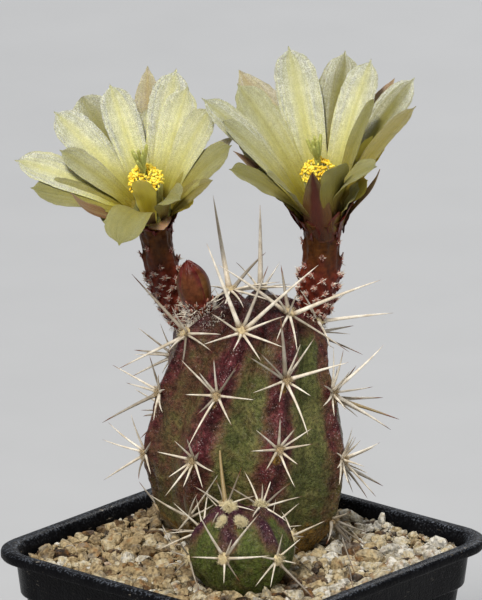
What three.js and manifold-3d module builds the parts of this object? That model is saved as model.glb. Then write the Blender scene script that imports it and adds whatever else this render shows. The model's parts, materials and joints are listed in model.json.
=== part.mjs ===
// A young hedgehog cactus in flower, in a square plastic nursery pot topped with grit.
//
// Millimetres, +Z up. The origin is the middle of the pot's underside, and the pot's sides lie along X and Y.
// The plant stands in the pot turned by PLANT_TURN, in a frame of its own: x to its right, y to its back and
// -y to its front, where the offset grows. An azimuth of 0 is the front and 90 the right.

import * as THREE from "three";
import { mergeVertices } from "three/addons/utils/BufferGeometryUtils.js";
import Module from "manifold-3d";

const wasm = await Module();
wasm.setup();
const { Manifold } = wasm;

// ---------- driving dimensions ----------

const CLEARANCE = 0.35; // between pieces that stand in or on each other
const PLANT_TURN = -49.5;

const POT = {
  height: 75,
  half: 40, // half the rim's outer width
  corner: 9, // corner radius at the rim
  cornerTaper: 0.33, // how fast the corner radius shrinks with the half width
  cornerSteps: 4,
  floor: 2,
  drainRadius: 3.5,
  drainOffset: 15, // along X and Y
  drainSides: 12,
  // [half width, height] outside from the underside to the rim, then inside down to the floor
  outside: [
    [26.5, 0], [27.6, 1.2], [35.6, 64], [36.6, 64.8], [37.4, 72.4], [39.5, 72.6], [40, 73.1], [40, 74.4],
  ],
  inside: [[39.5, 75], [37.5, 75], [36.9, 74.5], [36.3, 72.6], [35.4, 65.2], [34.4, 63.6], [26.6, 2]],
};

const GRIT = {
  level: 70.5,
  bed: 1.3, // depth of the bed's flat top under that level
  centres: [1.6, 0.7], // depths under that level between which the stones' middles lie
  stone: 3.8, // half width of a stone that is as wide as can be
  shape: [[0.72, 1], [0.64, 0.9], [0.52, 0.74]], // least and most of that along a stone's three axes
  pitch: 6.1,
  scatter: 0.7, // how far a stone lies off the even pitch
  reach: 34.4, // how far from the middle of the pot the stones' middles lie
  top: 72.6, // no stone stands higher
  holeSides: 24,
  seed: 11,
};

const STEM = {
  centre: [0.65, 15.5],
  hole: { radius: 15.6, depth: 13 }, // in the grit
  // [radius, height above the grit] of the ribs' crests, from the crown down to the root
  profile: [
    [0, 54.7], [3.5, 55.6], [7.5, 55.2], [11.4, 53.5], [14.6, 50.5], [16.8, 46], [18.2, 41], [19.3, 36.5],
    [20.5, 32], [21.8, 27.5], [22.3, 22], [21.9, 16.5], [20.6, 11], [18.5, 5.2], [15, 0], [13, -4.5],
    [11.5, -12.5],
  ],
  // a rib's crest as [height above the grit, azimuth], the arc from the crown to its first areole, and the
  // length of that areole's central spine
  ribs: [
    { crest: [[9, -88], [22, -75], [36, -71], [50, -57], [55, -45]], first: 16.8, central: 16 },
    { crest: [[9, -50], [22, -34], [38, -20], [53, -3], [55, 6]], first: 13.8, central: 19 },
    { crest: [[9, 4], [28, 19], [43, 29], [53, 54], [55, 60]], first: 10.8, central: 15 },
    { crest: [[9, 63], [36, 69], [45, 84], [55, 108]], first: 16.8, central: 14 },
    { crest: [[9, 112], [36, 123], [45, 138], [55, 160]], first: 9, central: 18 },
    { crest: [[9, 165], [36, 178], [45, 190], [55, 208]], first: 7, central: 23 },
    { crest: [[9, 218], [36, 233], [45, 243], [55, 258]], first: 14, central: 15 },
  ],
  pitch: 14.8, // arc between the areoles of a rib
  lastAreole: 66,
  // [arc from the crown, groove depth as a share of the radius]
  grooves: [[0, 0.02], [4, 0.2], [10, 0.26], [22, 0.17], [45, 0.11], [62, 0.06], [70, 0]],
  tubercle: 1.1,
  lean: 1.5, // how far the foot stands to the right of the crown
  leanHeight: 25,
  rings: 18,
  columnsPerRib: 4,
  spineLength: 10.5,
  youngSpineGain: 0.3, // how much longer the spines nearest the crown are
  spineRadius: 0.5,
  areoleRadius: 2.4, // of the woolly cushion's foot, inside the rib
  seed: 7,
};

const OFFSET = {
  centre: [-0.4, -16.6],
  hole: { radius: 7.9, depth: 8 },
  profile: [
    [0, 17.9], [2.4, 18.2], [5.4, 17.5], [8.3, 15.4], [10.4, 12], [11.1, 8.4], [10.4, 4.6], [8.4, 1.4],
    [6.8, -1], [6, -7.5],
  ],
  ribs: [
    { crest: [[0, -20]], first: 5.2, central: 7 },
    { crest: [[0, 44]], first: 5, central: 7 },
    { crest: [[0, 99]], first: 6.4, central: 8 },
    { crest: [[0, 148]], first: 5, central: 8 },
    { crest: [[0, 190]], first: 8, central: 8 },
    { crest: [[0, 232]], first: 6, central: 15 },
    { crest: [[0, 280]], first: 8.6, central: 8 },
  ],
  pitch: 10,
  lastAreole: 21,
  grooves: [[0, 0.02], [3, 0.16], [9, 0.15], [18, 0.09], [24, 0]],
  tubercle: 0.7,
  lean: 0,
  leanHeight: 1,
  rings: 10,
  columnsPerRib: 4,
  spineLength: 7.6,
  youngSpineGain: 0.1,
  spineRadius: 0.42,
  areoleRadius: 2.1,
  seed: 23,
};

// The radial spines of an areole: degrees clockwise from the way to the crown, and length as a share.
const RADIALS = [[0, 0.8], [52, 1.1], [100, 0.95], [145, 1.25], [215, 1.25], [260, 0.95], [308, 1.1]];
const CUSHION_HEIGHT = 0.8; // of an areole's wool, and as deep again
const SPINES = {
  root: 0.9, // how deep a spine starts
  radialRise: 27, // degrees above the surface
  centralRise: 66,
  centralShare: 1.15, // of the radial spines' length
  centralGirth: 1.35,
  woolOnly: 5.5, // an areole nearer than this to the crown has no spines yet
  // [degrees that a spine is raised, share of its length that is left], tried in turn where it has no room
  tries: [[0, 1], [16, 1], [32, 1], [16, 0.7], [32, 0.7], [16, 0.5]],
  overGrit: 2.6,
  overRim: 1.2,
  besideWall: 34, // how far out from the pot's middle a spine may reach below the rim
};

// A tepal is [azimuth round the flower, degrees from the flower's axis, reach from the throat, width], and
// outer holds the narrow brownish ones of the outside whorls.
const LEFT_FLOWER = {
  foot: [-12, 19.2, 115.5], // inside the stem
  bend: [-18.6, 20, 130.5],
  throat: [-19.8, 18.5, 144.6],
  axis: [-0.14, -0.49, 0.86],
  girth: 0.86, // of the tube, as a share of TUBE's radii
  tepals: [
    [-104, 55, 32.5, 7.4], [-91, 57, 28.5, 6.6], [-132, 45, 31, 8.4], [-112, 42, 25.5, 7],
    [-153, 46, 30, 9.2], [-167, 38, 30, 8.6], [154, 42, 32, 8.8], [142, 36, 29, 7.6], [127, 46, 29, 8],
    [111, 52, 27.5, 7.4], [95, 46, 26, 7], [30, 36, 23, 6.2], [-17, 52, 27.5, 8.6], [-8, 14, 19, 7.4],
  ],
  outer: [
    [172, 46, 32, 7.2], [68, 40, 21.5, 5.4], [-68, 36, 24, 4.8], [14, 76, 11, 5.6], [-145, 56, 26, 5.6],
    [140, 56, 26, 5.6],
  ],
  seed: 3,
};

const RIGHT_FLOWER = {
  foot: [14.2, 18.9, 115.5],
  bend: [17.8, 19.6, 130],
  throat: [17.2, 15.5, 145.5],
  axis: [-0.08, -0.29, 0.954],
  girth: 1,
  tepals: [
    [-103, 34, 38, 8.6], [-142, 52, 32, 8], [-135, 36, 34, 9.2], [-170, 36, 37.5, 9.6], [162, 40, 36.5, 9.2],
    [146, 36, 35.5, 8.4], [123, 42, 35.5, 8], [121, 26, 28.5, 7], [52, 34, 25, 6.6], [20, 20, 22.5, 8],
    [-64, 39, 29, 7],
  ],
  outer: [
    [-152, 50, 37.5, 6.8], [138, 46, 33.5, 5.8], [114, 44, 31, 6.4], [-10, 8, 18, 6.4], [-82, 33, 28, 5.6],
    [62, 36, 22, 4], [-60, 56, 11, 5], [178, 48, 28, 6],
  ],
  seed: 5,
};

// [share of the length, share of the width] of a tepal's outline: it ends in a fine point
const INNER_OUTLINE = [[0, 0.32], [0.38, 0.72], [0.68, 1], [0.9, 0.66], [1, 0.06]];
const OUTER_OUTLINE = [[0, 0.5], [0.55, 1], [0.8, 0.68], [1, 0.07]];
const TEPAL = {
  thickness: 0.6,
  ring: 3.4, // distance of a tepal's base from the flower's axis
  base: 1, // its height above the throat
  outerBase: 0.7,
  curl: 22, // degrees that a tepal opens from base to tip
  gutter: 0.16, // how far the edges stand up, as a share of the half width
  roll: 9, // degrees that tuck one edge under the next tepal
};
const CUP = { bottom: 5, top: 5.8, height: 2.6 }; // the fleshy cup that the tepals stand in

const TUBE = {
  sides: 12,
  // [share of the way from the foot to the throat, radius]
  radii: [[0, 2], [0.16, 2.6], [0.28, 3.6], [0.46, 4.4], [0.6, 4.2], [0.74, 4], [0.88, 4.5], [1, 5.8]],
  areoleRows: [0.34, 0.46, 0.58, 0.74],
  areolesPerRow: 4,
  areole: { sink: 0.6, height: 1.3, radius: 0.95 },
  spine: { length: 3.2, radius: 0.3, rise: 0.95, lean: 0.7 }, // rise and lean as shares of the way outwards
};

const BUD = {
  foot: [-8, 12.7, 118.5],
  tip: [-12.2, 10, 136.3],
  radii: [[0, 1.8], [0.24, 3], [0.4, 3.4], [0.46, 3.1], [0.58, 3.6], [0.72, 3.5], [0.86, 2.5], [0.95, 1.3]],
  sides: 12,
  ridges: 6,
  ridge: 0.09, // their height as a share of the radius
  ridgesFrom: 0.5,
  // they start at shares of the bud's length, off its axis, and reach outwards and up
  spines: { count: 10, from: 0.28, step: 0.014, start: 2.6, out: 1.9, up: 1.6, radius: 0.35 },
};

const STAMENS = {
  count: 18,
  ring: [1.3, 3], // radii of the ring that the filaments grow from
  base: 1,
  height: 12.5,
  droop: 1.8, // how much lower the outer anthers are
  spread: [0.6, 4.7],
  filament: 0.28,
  anther: 0.66,
};
const PISTIL = { radius: 0.7, height: 15.5, lobes: 8, lobeLength: 4.6, lobeRadius: 0.5, spread: [24, 40] };
const GOLDEN_ANGLE = 137.5;

// ---------- small helpers ----------

const point = (x, y, z) => new THREE.Vector3(x, y, z);
const radians = THREE.MathUtils.degToRad;
const lerp = THREE.MathUtils.lerp;

// A repeatable draw: each call gives the next number from 0 to 1.
function seeded(seed) {
  let state = seed;
  return () => {
    state = (Math.imul(state, 1664525) + 1013904223) >>> 0;
    return state / 2 ** 32;
  };
}

// The value at x on straight lines through [x, value] pairs.
function along(pairs, x) {
  const last = pairs.length - 1;
  if (x <= pairs[0][0]) return pairs[0][1];
  if (x >= pairs[last][0]) return pairs[last][1];
  const k = pairs.findIndex((pair) => pair[0] > x);
  const [[x0, v0], [x1, v1]] = [pairs[k - 1], pairs[k]];
  return lerp(v0, v1, (x - x0) / (x1 - x0));
}

// A closed geometry through rings of equally many points, anticlockwise as seen from where the rings lead to.
// It ends at tip, if that is given, or in a flat cap.
function loft(rings, tip) {
  const sides = rings[0].length;
  const points = rings.flat();
  const middle = (ring) => ring.reduce((sum, p) => sum.add(p), point(0, 0, 0)).divideScalar(sides);
  const start = points.push(middle(rings[0])) - 1;
  const end = points.push(tip ?? middle(rings.at(-1))) - 1;
  const lastRing = (rings.length - 1) * sides;
  const triangles = [];
  for (let i = 0; i < sides; i++) {
    const next = (i + 1) % sides;
    triangles.push(start, next, i, end, lastRing + i, lastRing + next);
    for (let row = 0; row < lastRing; row += sides) {
      triangles.push(row + i, row + next, row + sides + next, row + i, row + sides + next, row + sides + i);
    }
  }
  return new THREE.BufferGeometry().setFromPoints(points).setIndex(triangles);
}

function solidOf(geometry) {
  const bare = geometry.clone();
  bare.deleteAttribute("normal");
  bare.deleteAttribute("uv");
  const merged = mergeVertices(bare, 1e-4);
  return new Manifold(
    new wasm.Mesh({
      numProp: 3,
      vertProperties: merged.attributes.position.array,
      triVerts: new Uint32Array(merged.index.array),
    }),
  );
}

function geometryOf(solid) {
  const { vertProperties, triVerts } = solid.getMesh();
  return new THREE.BufferGeometry()
    .setAttribute("position", new THREE.BufferAttribute(vertProperties, 3))
    .setIndex(new THREE.BufferAttribute(triVerts, 1));
}

const fused = (geometries) => Manifold.union(geometries.map(solidOf));

// The biggest piece of a solid, without any scraps that a cut left.
function biggest(solid) {
  return solid.decompose().sort((a, b) => b.volume() - a.volume())[0];
}

function mesh(name, solid, color, roughness) {
  const geometry = geometryOf(solid).toNonIndexed();
  geometry.computeVertexNormals();
  const made = new THREE.Mesh(geometry, new THREE.MeshStandardMaterial({ color, roughness, metalness: 0 }));
  made.name = name;
  return made;
}

// Two unit vectors across a direction, which make a right-handed frame with it.
function acrossFrom(direction) {
  const helper = Math.abs(direction.z) < 0.9 ? point(0, 0, 1) : point(1, 0, 0);
  const side = point(0, 0, 0).crossVectors(helper, direction).normalize();
  return [side, point(0, 0, 0).crossVectors(direction, side)];
}

// The unit vector at an angle from one unit vector to another that stands across it.
function aside(from, to, angle) {
  return from.clone().multiplyScalar(Math.cos(angle)).addScaledVector(to, Math.sin(angle));
}

// A ring of points round a centre, across a direction, whose radius may change by a factor with the angle.
function ringAt(centre, direction, radius, sides, shape = () => 1) {
  const [side, up] = acrossFrom(direction);
  return Array.from({ length: sides }, (_, i) => {
    const angle = (2 * Math.PI * i) / sides;
    return centre.clone().addScaledVector(aside(side, up, angle), radius * shape(angle));
  });
}

// An upright cylinder round the origin.
function cylinder(radius, height, sides) {
  return new THREE.CylinderGeometry(radius, radius, height, sides).rotateX(Math.PI / 2);
}

// A three-sided needle.
function needle(start, tip, radius) {
  const direction = tip.clone().sub(start).normalize();
  return loft([ringAt(start, direction, radius, 3)], tip);
}

// ---------- pot and grit ----------

function roundedSquare(half, height) {
  const corner = POT.corner - POT.cornerTaper * (POT.half - half);
  const ring = [];
  [[1, 1], [-1, 1], [-1, -1], [1, -1]].forEach(([signX, signY], quarter) => {
    for (let step = 0; step <= POT.cornerSteps; step++) {
      const angle = ((quarter + step / POT.cornerSteps) * Math.PI) / 2;
      const x = signX * (half - corner) + corner * Math.cos(angle);
      const y = signY * (half - corner) + corner * Math.sin(angle);
      ring.push(point(x, y, height));
    }
  });
  return ring;
}

function potSolid() {
  const rings = [...POT.outside, ...POT.inside].map(([half, height]) => roundedSquare(half, height));
  let pot = solidOf(loft(rings));
  for (const x of [-POT.drainOffset, POT.drainOffset]) {
    for (const y of [-POT.drainOffset, POT.drainOffset]) {
      const drill = cylinder(POT.drainRadius, 4 * POT.floor, POT.drainSides);
      pot = pot.subtract(solidOf(drill.translate(x, y, 0)));
    }
  }
  return pot;
}

// The space inside the pot, less the clearance, up to a height.
function insidePot(top) {
  const wall = [...POT.inside].reverse().map(([half, height]) => [height, half]);
  const bends = wall.map(([height]) => height).filter((height) => height > POT.floor && height < top);
  const heights = [POT.floor + CLEARANCE, ...bends, top];
  return loft(heights.map((height) => roundedSquare(along(wall, height) - CLEARANCE, height)));
}

function stoneGeometry(centre, random) {
  const turn = () => 2 * Math.PI * random();
  const stretch = GRIT.shape.map(([least, most]) => GRIT.stone * lerp(least, most, random()));
  return new THREE.OctahedronGeometry(1.15)
    .rotateX(turn())
    .rotateY(turn())
    .scale(...stretch)
    .rotateZ(turn())
    .translate(centre.x, centre.y, centre.z);
}

// A place in the plant's frame, seen in the pot's.
const turned = ([x, y]) => point(x, y, 0).applyAxisAngle(point(0, 0, 1), radians(PLANT_TURN));

// The bed of grit, with its stones in staggered rows and a round hole for each stem.
function gritSolid(holes) {
  const random = seeded(GRIT.seed);
  const pieces = [insidePot(GRIT.level - GRIT.bed)];
  const rowPitch = GRIT.pitch * Math.cos(Math.PI / 6);
  const rows = Math.floor(GRIT.reach / rowPitch);
  const off = () => GRIT.scatter * (2 * random() - 1);
  for (let row = -rows; row <= rows; row++) {
    for (let column = -rows; column <= rows; column++) {
      const x = (column + (row % 2 ? 0.5 : 0)) * GRIT.pitch + off();
      const y = row * rowPitch + off();
      const stone = stoneGeometry(point(x, y, GRIT.level - lerp(...GRIT.centres, random())), random);
      const onBed = Math.max(Math.abs(x), Math.abs(y)) < GRIT.reach;
      const free = ({ centre, radius }) => Math.hypot(x - centre.x, y - centre.y) > radius + GRIT.stone;
      if (onBed && holes.every(free)) pieces.push(stone);
    }
  }
  let grit = fused(pieces).intersect(solidOf(insidePot(GRIT.top)));
  for (const { centre, radius, depth } of holes) {
    const hole = cylinder(radius, 2 * depth, GRIT.holeSides).translate(centre.x, centre.y, GRIT.level);
    grit = grit.subtract(solidOf(hole));
  }
  return biggest(grit);
}

// ---------- ribbed stems ----------

class RibbedStem {
  constructor(plan, obstacles) {
    Object.assign(this, plan, { obstacles });
    const curve = new THREE.SplineCurve(plan.profile.map(([r, h]) => new THREE.Vector2(r, h)));
    let arc = 0;
    // [arc from the crown, radius] and [arc from the crown, height]
    this.radiusAt = [];
    this.heightAt = [];
    curve.getPoints(plan.profile.length * 8).forEach((p, k, all) => {
      arc += k ? p.distanceTo(all[k - 1]) : 0;
      this.radiusAt.push([arc, p.x]);
      this.heightAt.push([arc, p.y]);
    });
    this.length = arc;
    this.crownArc = 1.2; // the arc to the smallest ring of the body
  }

  // The point at a share of the way from one rib's crest to the next, swollen by some thickness.
  surface(rib, share, arc, swell = 0) {
    const height = along(this.heightAt, arc);
    const radius = along(this.radiusAt, arc);
    const next = (rib + 1) % this.ribs.length;
    const from = along(this.ribs[rib].crest, height);
    const to = along(this.ribs[next].crest, height) + (next ? 0 : 360);
    const azimuth = radians(lerp(from, to, share));
    const fromGroove = Math.abs(2 * share - 1);
    const groove = along(this.grooves, arc) * (1 - fromGroove) ** 1.4;
    const nearest = this.ribs[share < 0.5 ? rib : next];
    const phase = Math.cos((Math.PI * (arc - nearest.first)) / this.pitch) ** 2;
    const bump = height > 1 ? this.tubercle * Math.min(1, radius / 12) * fromGroove ** 2 * phase : 0;
    const reach = radius * (1 - groove) + bump + swell;
    const lean = this.lean * Math.max(0, 1 - Math.max(height, 0) / this.leanHeight);
    return point(
      this.centre[0] + lean + reach * Math.sin(azimuth),
      this.centre[1] - reach * Math.cos(azimuth),
      GRIT.level + height,
    );
  }

  // The ribbed body from the root up, swollen sideways and, on its upper third, upwards.
  body(swell = 0) {
    const rings = [];
    for (let k = 0; k < this.rings; k++) {
      const arc = lerp(this.length, this.crownArc, k / (this.rings - 1));
      const ring = [];
      for (let rib = 0; rib < this.ribs.length; rib++) {
        for (let column = 0; column < this.columnsPerRib; column++) {
          const p = this.surface(rib, column / this.columnsPerRib, arc, swell);
          p.z += arc < this.length / 3 ? swell : 0;
          ring.push(p);
        }
      }
      rings.push(ring);
    }
    return loft(rings);
  }

  // The areoles down each rib that no obstacle covers, with their ways out, up to the crown and to the right.
  areoles() {
    const found = [];
    this.ribs.forEach((rib, k) => {
      for (let arc = rib.first; arc < this.lastAreole; arc += this.pitch) {
        const place = this.surface(k, 0, arc);
        const up = this.surface(k, 0, arc - 2).sub(this.surface(k, 0, arc + 2)).normalize();
        const radial = point(place.x - this.centre[0], place.y - this.centre[1], 0);
        const right = point(-radial.y, radial.x, 0).normalize();
        const out = point(0, 0, 0).crossVectors(right, up).normalize();
        const covered = this.obstacles.some((obstacle) => isNear(place, obstacle, 0.6));
        if (!covered) found.push({ place, up, out, right, arc, rib, youngest: arc === rib.first });
      }
    });
    return found;
  }

  // Every spine as a start, a tip and a radius, kept clear of the obstacles.
  spines() {
    const random = seeded(this.seed);
    const about = (value, spread) => value + spread * (2 * random() - 1);
    const made = [];
    for (const areole of this.areoles()) {
      if (areole.arc < SPINES.woolOnly) continue;
      const youth = areole.youngest ? 1 : Math.max(0, 1 - areole.arc / 45);
      const length = this.spineLength * (1 + this.youngSpineGain * youth);
      const plans = RADIALS.map(([angle, share]) => ({
        angle: about(angle, 8),
        rise: about(SPINES.radialRise, 7),
        length: length * share * about(1, 0.12),
        radius: this.spineRadius * (0.75 + 0.25 * share),
      }));
      plans.push({
        angle: about(areole.youngest ? 0 : 180, 25),
        rise: SPINES.centralRise,
        length: areole.youngest ? areole.rib.central : length * SPINES.centralShare,
        radius: this.spineRadius * SPINES.centralGirth,
      });
      made.push(...plans.map((plan) => this.clearSpine(areole, plan)).filter(Boolean));
    }
    return made;
  }

  // The spine that a plan gives, raised and then shortened until it clears the obstacles, or nothing.
  clearSpine({ place, up, out, right }, plan) {
    const flat = aside(up, right, radians(plan.angle));
    const start = place.clone().addScaledVector(out, -SPINES.root);
    for (const [lift, share] of SPINES.tries) {
      const way = aside(flat, out, radians(Math.min(plan.rise + lift, 88)));
      const tip = start.clone().addScaledVector(way, plan.length * share + SPINES.root);
      if (isClear(start, tip, this.obstacles)) return { start, tip, radius: plan.radius };
    }
    return null;
  }

  // The body with a woolly cushion on each areole and its spines, less a solid that it is cut by.
  solid(spines, cut) {
    const cushions = this.areoles().map(({ place, out }) => {
      const foot = ringAt(place.clone().addScaledVector(out, -CUSHION_HEIGHT), out, this.areoleRadius, 5);
      return loft([foot], place.clone().addScaledVector(out, CUSHION_HEIGHT));
    });
    const needles = spines.map(({ start, tip, radius }) => needle(start, tip, radius));
    const whole = fused([this.body(), ...cushions, ...needles]);
    return biggest(cut ? whole.subtract(cut) : whole);
  }
}

// An obstacle is a line with a radius, which a share makes smaller.
function isNear(place, { from, to, radius }, share = 1) {
  const nearest = new THREE.Line3(from, to).closestPointToPoint(place, true, point(0, 0, 0));
  return nearest.distanceTo(place) < radius * share;
}

// Whether a spine, from a fifth of its length on, keeps out of every obstacle, the grit and the pot's walls.
function isClear(start, tip, obstacles) {
  for (let k = 2; k <= 10; k++) {
    const p = start.clone().lerp(tip, k / 10);
    const [x, y] = turned([p.x, p.y]).toArray().map(Math.abs);
    const inGrit = p.z < GRIT.level + SPINES.overGrit;
    const inWall = p.z < POT.height + SPINES.overRim && Math.max(x, y) > SPINES.besideWall;
    if (inGrit || inWall || obstacles.some((obstacle) => isNear(p, obstacle))) return false;
  }
  return true;
}

// ---------- flowers and bud ----------

// A thin blade through a grid of points, rows from base to tip, thickened along the grid's normals.
function blade(grid, normals, thickness) {
  const rows = grid.length;
  const columns = grid[0].length;
  const points = [];
  for (const side of [0.5, -0.5]) {
    grid.forEach((row, j) => row.forEach((p, i) => {
      points.push(p.clone().addScaledVector(normals[j][i], side * thickness));
    }));
  }
  const top = (j, i) => j * columns + i;
  const under = (j, i) => rows * columns + top(j, i);
  const triangles = [];
  const quad = (a, b, c, d) => triangles.push(a, b, c, a, c, d);
  for (let j = 0; j < rows - 1; j++) {
    for (let i = 0; i < columns - 1; i++) {
      quad(top(j, i), top(j, i + 1), top(j + 1, i + 1), top(j + 1, i));
      triangles.push(under(j, i), under(j + 1, i + 1), under(j, i + 1));
      triangles.push(under(j, i), under(j + 1, i), under(j + 1, i + 1));
    }
    quad(top(j, 0), top(j + 1, 0), under(j + 1, 0), under(j, 0));
    quad(top(j + 1, columns - 1), top(j, columns - 1), under(j, columns - 1), under(j + 1, columns - 1));
  }
  for (let i = 0; i < columns - 1; i++) {
    quad(top(0, i + 1), top(0, i), under(0, i), under(0, i + 1));
    quad(top(rows - 1, i), top(rows - 1, i + 1), under(rows - 1, i + 1), under(rows - 1, i));
  }
  return new THREE.BufferGeometry().setFromPoints(points).setIndex(triangles);
}

// A tepal in the flower's own frame, where z is its axis and azimuth 0 its front, from a base at some height.
function tepal([azimuth, open, reach, width], outline, base) {
  const a = radians(azimuth);
  const away = point(Math.sin(a), -Math.cos(a), 0);
  const across = point(Math.cos(a), Math.sin(a), 0);
  const axis = point(0, 0, 1);
  const grid = [];
  const normals = [];
  let spot = away.clone().multiplyScalar(TEPAL.ring).addScaledVector(axis, base);
  outline.forEach(([share, widthShare], j) => {
    const angle = radians(open + TEPAL.curl * (share - 0.45));
    const way = aside(axis, away, angle);
    if (j) spot = spot.clone().addScaledVector(way, (reach - TEPAL.ring) * (share - outline[j - 1][0]));
    const side = across.clone().applyAxisAngle(way, radians(TEPAL.roll));
    const inward = point(0, 0, 0).crossVectors(way, side);
    const half = (width * widthShare) / 2;
    const row = [1, 0, -1].map((k) => spot.clone().addScaledVector(side, k * half));
    row.forEach((p, k) => p.addScaledVector(inward, k === 1 ? 0 : TEPAL.gutter * half));
    grid.push(row);
    normals.push([inward, inward, inward]);
  });
  return blade(grid, normals, TEPAL.thickness);
}

function tepalsSolid(flower) {
  const cup = new THREE.CylinderGeometry(CUP.top, CUP.bottom, CUP.height, 16).rotateX(Math.PI / 2);
  return fused([
    cup.translate(0, 0, CUP.height / 2 + CLEARANCE),
    ...flower.tepals.map((plan) => tepal(plan, INNER_OUTLINE, TEPAL.base)),
    ...flower.outer.map((plan) => tepal(plan, OUTER_OUTLINE, TEPAL.outerBase)),
  ]);
}

// The curve from the flower's foot on the stem to its throat.
function tubeCurve({ foot, bend, throat }) {
  return new THREE.QuadraticBezierCurve3(point(...foot), point(...bend), point(...throat));
}

// The flower's tube, with an areole of a few short spines on each of its knobs, cut to stand on the stem.
function tubeSolid(flower, stemWithClearance) {
  const random = seeded(flower.seed);
  const curve = tubeCurve(flower);
  const axis = point(...flower.axis).normalize();
  const rings = TUBE.radii.map(([share, radius]) => {
    const way = curve.getTangent(share).lerp(axis, share ** 2).normalize();
    return ringAt(curve.getPoint(share), way, radius * flower.girth, TUBE.sides);
  });
  const pieces = [loft(rings)];
  TUBE.areoleRows.forEach((share, row) => {
    const way = curve.getTangent(share);
    const [side, up] = acrossFrom(way);
    for (let k = 0; k < TUBE.areolesPerRow; k++) {
      const out = aside(side, up, (2 * Math.PI * (k + (row % 2) / 2)) / TUBE.areolesPerRow);
      const across = point(0, 0, 0).crossVectors(way, out);
      const depth = along(TUBE.radii, share) * flower.girth - TUBE.areole.sink;
      const place = curve.getPoint(share).addScaledVector(out, depth);
      const end = (direction, length) => place.clone().addScaledVector(direction, length);
      pieces.push(needle(place, end(out, TUBE.areole.height), TUBE.areole.radius));
      for (const lean of [-TUBE.spine.lean, TUBE.spine.lean]) {
        const rise = TUBE.spine.rise * (0.75 + 0.5 * random());
        const length = TUBE.spine.length * (0.8 + 0.4 * random());
        const spineWay = out.clone().addScaledVector(way, rise).addScaledVector(across, lean).normalize();
        pieces.push(needle(place, end(spineWay, length), TUBE.spine.radius));
      }
    }
  });
  return biggest(fused(pieces).subtract(stemWithClearance));
}

// The filaments and anthers on the ring that they grow from, in the flower's frame.
function stamensSolid() {
  const [inner, outer] = STAMENS.ring;
  const floor = CUP.height + 2 * CLEARANCE;
  const profile = [[inner, 0], [outer, 0], [outer, STAMENS.base], [inner, STAMENS.base], [inner, 0]];
  const ring = new THREE.LatheGeometry(profile.map(([r, h]) => new THREE.Vector2(r, h)), 14);
  const pieces = [ring.rotateX(Math.PI / 2).translate(0, 0, floor)];
  for (let k = 1; k <= STAMENS.count; k++) {
    const share = Math.sqrt(k / STAMENS.count);
    const out = aside(point(1, 0, 0), point(0, 1, 0), radians(k * GOLDEN_ANGLE));
    const foot = out.clone().multiplyScalar(lerp(inner + 0.4, outer - 0.4, share));
    foot.setZ(floor + STAMENS.base / 4);
    const head = out.clone().multiplyScalar(lerp(...STAMENS.spread, share));
    head.setZ(STAMENS.height - STAMENS.droop * share ** 2);
    const anther = new THREE.OctahedronGeometry(STAMENS.anther).scale(1, 1, 1.25);
    pieces.push(needle(foot, head.clone().lerp(foot, -0.06), STAMENS.filament));
    pieces.push(anther.translate(head.x, head.y, head.z));
  }
  return biggest(fused(pieces));
}

// The style and the stigma's lobes, in the flower's frame.
function pistilSolid() {
  const foot = CUP.height + 2 * CLEARANCE;
  const length = PISTIL.height - foot;
  const pieces = [cylinder(PISTIL.radius, length, 7).translate(0, 0, foot + length / 2)];
  const start = point(0, 0, PISTIL.height - PISTIL.radius);
  for (let k = 0; k < PISTIL.lobes; k++) {
    const turn = (2 * Math.PI * k) / PISTIL.lobes;
    const way = point(0, 0, 0).setFromSphericalCoords(1, radians(PISTIL.spread[k % 2]), turn);
    way.applyAxisAngle(point(1, 0, 0), Math.PI / 2);
    pieces.push(needle(start, start.clone().addScaledVector(way, PISTIL.lobeLength), PISTIL.lobeRadius));
  }
  return fused(pieces);
}

// The closed bud, with its scales as low ridges and a few spines on its base, cut to stand on the stem.
function budSolid(stemWithClearance) {
  const foot = point(...BUD.foot);
  const tip = point(...BUD.tip);
  const way = tip.clone().sub(foot).normalize();
  const rings = BUD.radii.map(([share, radius]) => {
    const ridge = share > BUD.ridgesFrom ? BUD.ridge : 0;
    const shape = (angle) => 1 + ridge * Math.cos(BUD.ridges * angle);
    return ringAt(foot.clone().lerp(tip, share), way, radius, BUD.sides, shape);
  });
  const pieces = [loft(rings, tip)];
  const [side, up] = acrossFrom(way);
  for (let k = 0; k < BUD.spines.count; k++) {
    const out = aside(side, up, radians(k * GOLDEN_ANGLE));
    const share = BUD.spines.from + BUD.spines.step * k;
    const start = foot.clone().lerp(tip, share).addScaledVector(out, BUD.spines.start);
    const end = start.clone().addScaledVector(out, BUD.spines.out).addScaledVector(way, BUD.spines.up);
    pieces.push(needle(start, end, BUD.spines.radius));
  }
  return biggest(fused(pieces).subtract(stemWithClearance));
}

// ---------- the whole plant ----------

const line = (from, to, radius) => ({ from: point(...from), to: point(...to), radius });

function upright([x, y], low, high, radius) {
  return line([x, y, GRIT.level + low], [x, y, GRIT.level + high], radius);
}

const stem = new RibbedStem(STEM, [
  ...[LEFT_FLOWER, RIGHT_FLOWER].flatMap(({ foot, bend, throat }) => [
    line(foot, bend, 6.4),
    line(bend, throat, 6.8),
  ]),
  line(BUD.foot, BUD.tip, 4.9),
  upright(OFFSET.centre, 4, 8.5, 11.9),
]);
const stemSpines = stem.spines();
const stemWithClearance = solidOf(stem.body(CLEARANCE));

const offset = new RibbedStem(OFFSET, [
  ...stemSpines.map(({ start, tip }) => ({ from: start, to: tip, radius: 1.3 })),
  upright(STEM.centre, 18, 30, 23.2),
]);
const offsetSpines = offset.spines();

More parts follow.
